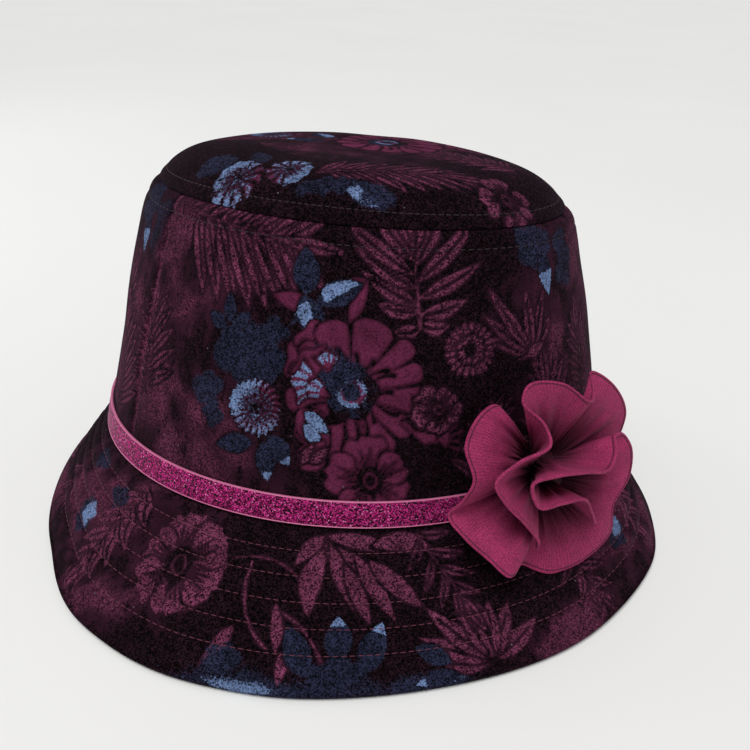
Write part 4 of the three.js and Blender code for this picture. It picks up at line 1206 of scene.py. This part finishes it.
def ruffle_point(folds, along, across):
    """A point of the gathered strip in the hat's frame, across it from root (0) to hem (1)."""
    folds = np.array(folds, float)
    hem = spline(around(folds[:, 0], folds[:, 1], folds[:, 2]), along)
    root = spline(around(folds[:, 3], folds[:, 4], KNOT["rise"]), along)
    swell = spline(np.stack([0 * folds[:, 5], 0 * folds[:, 5], folds[:, 5]], -1), along)
    middle = root + (hem - root) * RUFFLE_BEND + swell
    across = np.asarray(across)[:, None]
    local = (1 - across) ** 2 * root + 2 * (1 - across) * across * middle + across ** 2 * hem
    axes, foot = rosette_frame()
    return clear_of_hat(local @ axes + foot, CLEARANCE)


def ruffle_facing(folds, along, across):
    """Normals of the gathered strip, by small steps along and across it."""
    ahead = ruffle_point(folds, np.minimum(along + 0.002, 1), across)
    behind = ruffle_point(folds, np.maximum(along - 0.002, 0), across)
    out = ruffle_point(folds, along, np.minimum(across + 0.02, 1))
    back = ruffle_point(folds, along, np.maximum(across - 0.02, 0))
    return unit(np.cross(ahead - behind, out - back))


def ruffle_depth(folds, along):
    """Mm of cloth from root to hem, which is curved and so a little more than straight across."""
    root, hem = ruffle_point(folds, along, 0 * along), ruffle_point(folds, along, 0 * along + 1)
    return np.linalg.norm(hem - root, axis=1) * RUFFLE_CURVE


def ruffle_gathers(folds, along, across, seed):
    """How far the small gathers lift the cloth: strong at the root and gone towards the hem."""
    phase = along * len(folds) * 2 * math.pi
    fine = soft_waves(phase, FINE_GATHERS, seed)
    long_fold = soft_waves(phase, LONG_GATHERS, seed + 1)
    return (fine * (1 - smooth_step(across, 0.15, 0.62)) * smooth_step(across, 0.0, 0.1)
            + long_fold * np.sin(math.pi * across) ** 2 * 0.8)


def ruffle_place(folds, seed):
    """Place function of one turn of the rosette, a thin closed wall with a folded hem."""

    def place(u, v):
        turn = 1 - np.abs(2 * v - 1)
        across = np.interp(turn, *zip(*RUFFLE_SHARES))
        side = np.where(v < 0.5, 1.0, -1.0)
        hem_off = (1 - across) * ruffle_depth(folds, u)
        # The folded hem is thicker, its sewn line pulls it in, and the wall closes at all four edges.
        wall = RUFFLE_WALL + HEM_FOLD * (1 - smooth_step(hem_off, HEM_WIDTH - 0.3, HEM_WIDTH + 0.2))
        wall = wall - HEM_PINCH * np.exp(-((hem_off - HEM_WIDTH) / 0.35) ** 2)
        wall = wall * np.sqrt(np.clip(hem_off / 0.5, 0, 1)) * np.clip(turn / ROOT_EDGE, 0, 1)
        wall = wall * np.clip(np.minimum(u, 1 - u) / 0.003, 0, 1)
        lift = ruffle_gathers(folds, u, across, seed) + side * wall
        points = ruffle_point(folds, u, across) + ruffle_facing(folds, u, across) * lift[:, None]
        strip = np.stack([u * len(folds) * STRIP_PER_FOLD, across * STRIP_WIDTH, hem_off], -1)
        return points, {"strip": strip}

    return place


def knot_mesh(bm):
    """The gathered root, a flat knot of cloth with its gathers running to the middle."""
    made = bmesh.ops.create_uvsphere(bm, u_segments=48, v_segments=20, radius=1.0)
    axes, foot = rosette_frame()
    for vertex in made["verts"]:
        angle = math.atan2(vertex.co.y, vertex.co.x)
        gather = 1 + 0.05 * math.sin(15 * angle) * (1 - vertex.co.z ** 2)
        local = np.array([vertex.co.x * KNOT["radius"] * gather,
                          vertex.co.y * KNOT["radius"] * gather - KNOT["down"],
                          vertex.co.z * KNOT["depth"] + KNOT["rise"]])
        vertex.co = Vector((local @ axes + foot + AXIS) * MM)


# Stitching

def thread_row(name, line, facing, count, material, thread, closed):
    """A row of stitches as one thread that comes up, lies on the cloth and dives in again.

    line and facing give points and cloth normals in the hat's frame for shares along the row.
    """
    radius = thread["radius"]

    def place(u, v):
        along = np.where(u >= 1, 0.0, u) if closed else u
        middle, out = line(along), facing(along)
        ahead, behind = along + STITCH_STEP, along - STITCH_STEP
        if closed:
            run = line(ahead % 1.0) - line(behind % 1.0)
        else:
            run = line(np.minimum(ahead, 1.0)) - line(np.maximum(behind, 0.0))
        beside = unit(np.cross(unit(run), out))
        hump = np.clip(np.sin(math.pi * ((along * count) % 1.0)), 0, 1) ** 0.5
        height = thread["rise"] * hump - (1 - hump) * THREAD_DIVE * radius
        angle = 2 * math.pi * v
        thick = radius * (0.6 + 0.4 * hump)
        if not closed:
            thick = thick * np.clip(np.minimum(u, 1 - u) * count * POINTS_A_STITCH, 0, 1)
        return (middle + out * (height + thick * np.sin(angle))[:, None]
                + beside * (thick * np.cos(angle))[:, None]), {}

    return sheet_mesh(name, count * POINTS_A_STITCH, THREAD_SIDES, place, [material])


def surface_facing(point_at, azimuth, share, outward=True):
    """Normals of a surface that is given by azimuth and share, by small steps."""
    ahead, behind = point_at(azimuth + 0.2, share), point_at(azimuth - 0.2, share)
    up, down = point_at(azimuth, share + 0.004), point_at(azimuth, share - 0.004)
    normal = unit(np.cross(ahead - behind, up - down))
    return normal if outward else -normal


def brim_row(row):
    """Line, facing and length in mm of one of the brim's stitched rows."""
    share = FIRST_ROW + row * ROW_PITCH
    length = 2 * math.pi * float(np.mean(np.hypot(*brim_slant(np.arange(360.0), share)[:, :2].T)))

    def line(along):
        return brim_surface(along * 360, share)

    def facing(along):
        return surface_facing(brim_slant, along * 360, share + 0 * along, outward=False)

    return line, facing, length


def side_line(along):
    return crown_side_surface(along * 360, 1 - TOPSTITCH_SIDE / SIDE_HEIGHT + 0 * along)


def side_facing(along):
    return surface_facing(lambda azimuth, share: side_point(azimuth, share, 0.0), along * 360,
                          SIDE_FACING_SHARE + 0 * along)


def tip_row_share(azimuth):
    return 1 - TOPSTITCH_TIP / side_radius(azimuth, 1.0)


def tip_line(along):
    return tip_surface(along * 360, tip_row_share(along * 360))


def tip_facing(along):
    share = tip_row_share(along * 360) - TIP_FACING_STEP
    return surface_facing(tip_surface, along * 360, share, outward=False)


def hem_row(folds, seed, side):
    """Line, facing and length in mm of the sewn line inside a ruffle's hem, on one side of it."""

    def across(along):
        return 1 - HEM_WIDTH / ruffle_depth(folds, along)

    def line(along):
        share = across(along)
        lift = ruffle_gathers(folds, along, share, seed) + side * (RUFFLE_WALL - 0.12)
        return ruffle_point(folds, along, share) + ruffle_facing(folds, along, share) * lift[:, None]

    def facing(along):
        return side * ruffle_facing(folds, along, across(along))

    steps = np.diff(line(np.linspace(0, 1, 400)), axis=0)
    return line, facing, float(np.linalg.norm(steps, axis=1).sum())


# Operators

class HAT_OT_crown_side(bpy.types.Operator):
    """Builds the crown's printed side panel"""
    bl_idname = "hat.crown_side"
    bl_label = "Crown side"

    def execute(self, context):
        piece = sheet_mesh("velvet_crown_side", *SIDE_GRID, crown_side_place,
                           [shared(printed_velvet), shared(velvet_backing)], back_from=SIDE_WALL["backing"])
        belongs(piece, "velvet", "crown_side")
        return {"FINISHED"}


class HAT_OT_crown_tip(bpy.types.Operator):
    """Builds the crown's domed oval tip"""
    bl_idname = "hat.crown_tip"
    bl_label = "Crown tip"

    def execute(self, context):
        piece = sheet_mesh("velvet_crown_tip", *TIP_GRID, crown_tip_place,
                           [shared(printed_velvet), shared(velvet_backing)], back_from=TIP_WALL["backing"])
        belongs(piece, "velvet", "crown_tip")
        return {"FINISHED"}


class HAT_OT_brim(bpy.types.Operator):
    """Builds the quilted brim with its rounded hem"""
    bl_idname = "hat.brim"
    bl_label = "Brim"

    def execute(self, context):
        piece = sheet_mesh("velvet_brim", BRIM_COLUMNS, BRIM_ROUNDS, brim_place, [shared(printed_velvet)])
        belongs(piece, "velvet", "brim")
        return {"FINISHED"}


class HAT_OT_stitching(bpy.types.Operator):
    """Sews the brim's five rows and the two rows beside the tip's seam"""
    bl_idname = "hat.stitching"
    bl_label = "Stitching"

    def execute(self, context):
        bright = shared(sewing_thread, "brim_thread", "#6c2b40")
        dark = shared(sewing_thread, "crown_thread", "#28111c")
        for row in range(BRIM_ROWS):
            line, facing, length = brim_row(row)
            count = round(length / (context.scene.hat_sizes.stitch / MM))
            piece = thread_row(f"brim_stitches_{row + 1}", line, facing, count, bright, BRIM_THREAD, True)
            belongs(piece, "velvet")
        for name, line, facing in (("side_topstitch", side_line, side_facing),
                                   ("tip_topstitch", tip_line, tip_facing)):
            piece = thread_row(name, line, facing, TOPSTITCHES, dark, CROWN_THREAD, True)
            belongs(piece, "velvet")
        return {"FINISHED"}


class HAT_OT_ribbon(bpy.types.Operator):
    """Lays the glitter ribbon with its satin edges round the crown"""
    bl_idname = "hat.ribbon"
    bl_label = "Ribbon"

    def execute(self, context):
        piece = sheet_mesh("glitter_ribbon_band", *RIBBON_GRID, ribbon_place,
                           [shared(foil_glitter), shared(satin_edge)])
        for face in piece.data.polygons:
            up = face.center.z / MM - RIBBON_FOOT
            face.material_index = int(not SATIN_WIDTH < up < RIBBON_WIDTH - SATIN_WIDTH)
        belongs(piece, "glitter_ribbon", "ribbon_band")
        return {"FINISHED"}


class HAT_OT_rosette(bpy.types.Operator):
    """Gathers the crepe strip into the rosette's turns and sews its hem"""
    bl_idname = "hat.rosette"
    bl_label = "Rosette"

    def execute(self, context):
        crepe = shared(twill_crepe)
        parts = [sheet_mesh(f"ruffle_{name}", columns, RUFFLE_ROWS, ruffle_place(folds, seed), [])
                 for name, folds, columns, seed in RUFFLES]
        mesh = bpy.data.meshes.new("crepe_rosette")
        bm = bmesh.new()
        knot_mesh(bm)
        for part in parts:
            bm.from_mesh(part.data)
            bpy.data.meshes.remove(part.data)
        rosette = finished_piece("crepe_rosette", mesh, bm, [crepe])
        belongs(rosette, "crepe_ribbon", "rosette")
        thread = shared(sewing_thread, "rosette_thread", "#4a132c")
        hems = []
        for name, folds, columns, seed in RUFFLES:
            for label, side in (("top", 1), ("under", -1)):
                line, facing, length = hem_row(folds, seed, side)
                count = round(length / (context.scene.hat_sizes.hem_stitch / MM))
                hems.append(thread_row(f"hem_stitches_{name}_{label}", line, facing, count, thread,
                                       HEM_THREAD, False))
                belongs(hems[-1], "crepe_ribbon")
        return {"FINISHED"}


class HAT_OT_stage(bpy.types.Operator):
    """Sets the pale floor, the soft studio light and the camera"""
    bl_idname = "hat.stage"
    bl_label = "Stage"

    def execute(self, context):
        mesh = bpy.data.meshes.new("floor")
        bm = bmesh.new()
        bmesh.ops.create_circle(bm, cap_ends=True, segments=96, radius=FLOOR_RADIUS)
        floor = finished_piece("floor", mesh, bm, [shared(studio_floor)])
        world = bpy.data.worlds.new("soft_room")
        context.scene.world = world
        world.use_nodes = True
        background = world.node_tree.nodes["Background"]
        background.inputs["Color"].default_value = hex_colour("#eeeef0")
        background.inputs["Strength"].default_value = ROOM_LIGHT
        sun = bpy.data.lights.new("ceiling_light", "SUN")
        sun.energy, sun.angle = CEILING_LIGHT["power"], math.radians(CEILING_LIGHT["angle"])
        place_light(sun, CEILING_LIGHT["place"])
        for name, values in SIDE_LIGHTS.items():
            area = bpy.data.lights.new(name, "AREA")
            area.size, area.energy = values["size"], values["power"]
            place_light(area, values["place"])
        context.scene.view_settings.view_transform = "Standard"
        context.scene.camera = photo_camera()
        return {"FINISHED"}


def place_light(data, place):
    """Puts a light at a place in metres, turned to the middle of the hat."""
    light = bpy.data.objects.new(data.name, data)
    light.location = place
    light.rotation_euler = (Vector(HAT_MIDDLE) - Vector(place)).to_track_quat("-Z", "Y").to_euler()
    bpy.context.scene.collection.objects.link(light)


def photo_camera():
    """The camera at the photograph's angle."""
    yaw, pitch, roll = CAMERA["yaw"], CAMERA["pitch"], CAMERA["roll"]
    ahead = Vector((math.sin(yaw) * math.cos(pitch), math.cos(yaw) * math.cos(pitch), math.sin(pitch)))
    level = ahead.cross(Vector((0, 0, 1))).normalized()
    upright = level.cross(ahead)
    right = level * math.cos(roll) + upright * math.sin(roll)
    up = upright * math.cos(roll) - level * math.sin(roll)
    data = bpy.data.cameras.new("camera")
    data.sensor_width = SENSOR_WIDTH
    data.lens = SENSOR_WIDTH * CAMERA["focal_pixels"] / CAMERA["picture_pixels"]
    data.clip_start = 0.01
    camera = bpy.data.objects.new("camera", data)
    turn = Matrix((right, up, -ahead)).transposed().to_4x4()
    camera.matrix_world = Matrix.Translation(Vector(CAMERA["place"])) @ turn
    bpy.context.scene.collection.objects.link(camera)
    return camera


class HatSizes(bpy.types.PropertyGroup):
    """Sizes of the sewing"""
    stitch: FloatProperty(name="Stitch length", description="Length of a stitch in the brim's rows",
                          default=0.003, min=0.001, unit="LENGTH")
    hem_stitch: FloatProperty(name="Hem stitch", description="Length of a stitch in the rosette's hems",
                              default=0.0022, min=0.001, unit="LENGTH")


class HatColours(bpy.types.PropertyGroup):
    """Colours of the cloth and the ribbon"""
    ground: FloatVectorProperty(name="Velvet ground", description="Colour of the upright pile",
                                subtype="COLOR", size=4, default=hex_colour("#2b1721"))
    frond: FloatVectorProperty(name="Mottled leaves", description="Colour of the half-pressed leaves",
                               subtype="COLOR", size=4, default=hex_colour("#83405f"))
    wine: FloatVectorProperty(name="Pressed flowers", description="Colour of the smooth flowers",
                              subtype="COLOR", size=4, default=hex_colour("#632744"))
    navy: FloatVectorProperty(name="Navy leaves", description="Colour of the navy print",
                              subtype="COLOR", size=4, default=hex_colour("#31344f"))
    sky: FloatVectorProperty(name="Sky highlights", description="Colour of the light blue print",
                             subtype="COLOR", size=4, default=hex_colour("#7289b2"))
    glitter: FloatVectorProperty(name="Glitter", description="Tint over the ribbon's flakes",
                                 subtype="COLOR", size=4, default=(0.95, 0.95, 0.95, 1.0))
    satin: FloatVectorProperty(name="Satin edge", description="Colour of the ribbon's edges",
                               subtype="COLOR", size=4, default=hex_colour("#e07aa6"))
    crepe: FloatVectorProperty(name="Rosette", description="Colour of the crepe rosette",
                               subtype="COLOR", size=4, default=hex_colour("#b03567"))


OPERATORS = (HAT_OT_crown_side, HAT_OT_crown_tip, HAT_OT_brim, HAT_OT_stitching, HAT_OT_ribbon,
             HAT_OT_rosette, HAT_OT_stage)


class HAT_PT_panel(bpy.types.Panel):
    """Lists the hat's pieces and their sizes and colours"""
    bl_idname = "HAT_PT_panel"
    bl_label = "Velvet bucket hat"
    bl_space_type = "VIEW_3D"
    bl_region_type = "UI"
    bl_category = "Hat"

    def draw(self, context):
        for group in (context.scene.hat_sizes, context.scene.hat_colours):
            for name in group.bl_rna.properties.keys():
                if name not in ("rna_type", "name"):
                    self.layout.prop(group, name)
        for operator in OPERATORS:
            self.layout.operator(operator.bl_idname)


CLASSES = (HatSizes, HatColours, *OPERATORS, HAT_PT_panel)


def register():
    for cls in CLASSES:
        bpy.utils.register_class(cls)
    bpy.types.Scene.hat_sizes = PointerProperty(type=HatSizes)
    bpy.types.Scene.hat_colours = PointerProperty(type=HatColours)


def unregister():
    del bpy.types.Scene.hat_sizes
    del bpy.types.Scene.hat_colours
    for cls in reversed(CLASSES):
        bpy.utils.unregister_class(cls)


def main():
    register()
    bpy.ops.hat.crown_side()
    bpy.ops.hat.crown_tip()
    bpy.ops.hat.brim()
    bpy.ops.hat.stitching()
    bpy.ops.hat.ribbon()
    bpy.ops.hat.rosette()
    bpy.ops.hat.stage()


if __name__ == "__main__":
    main()
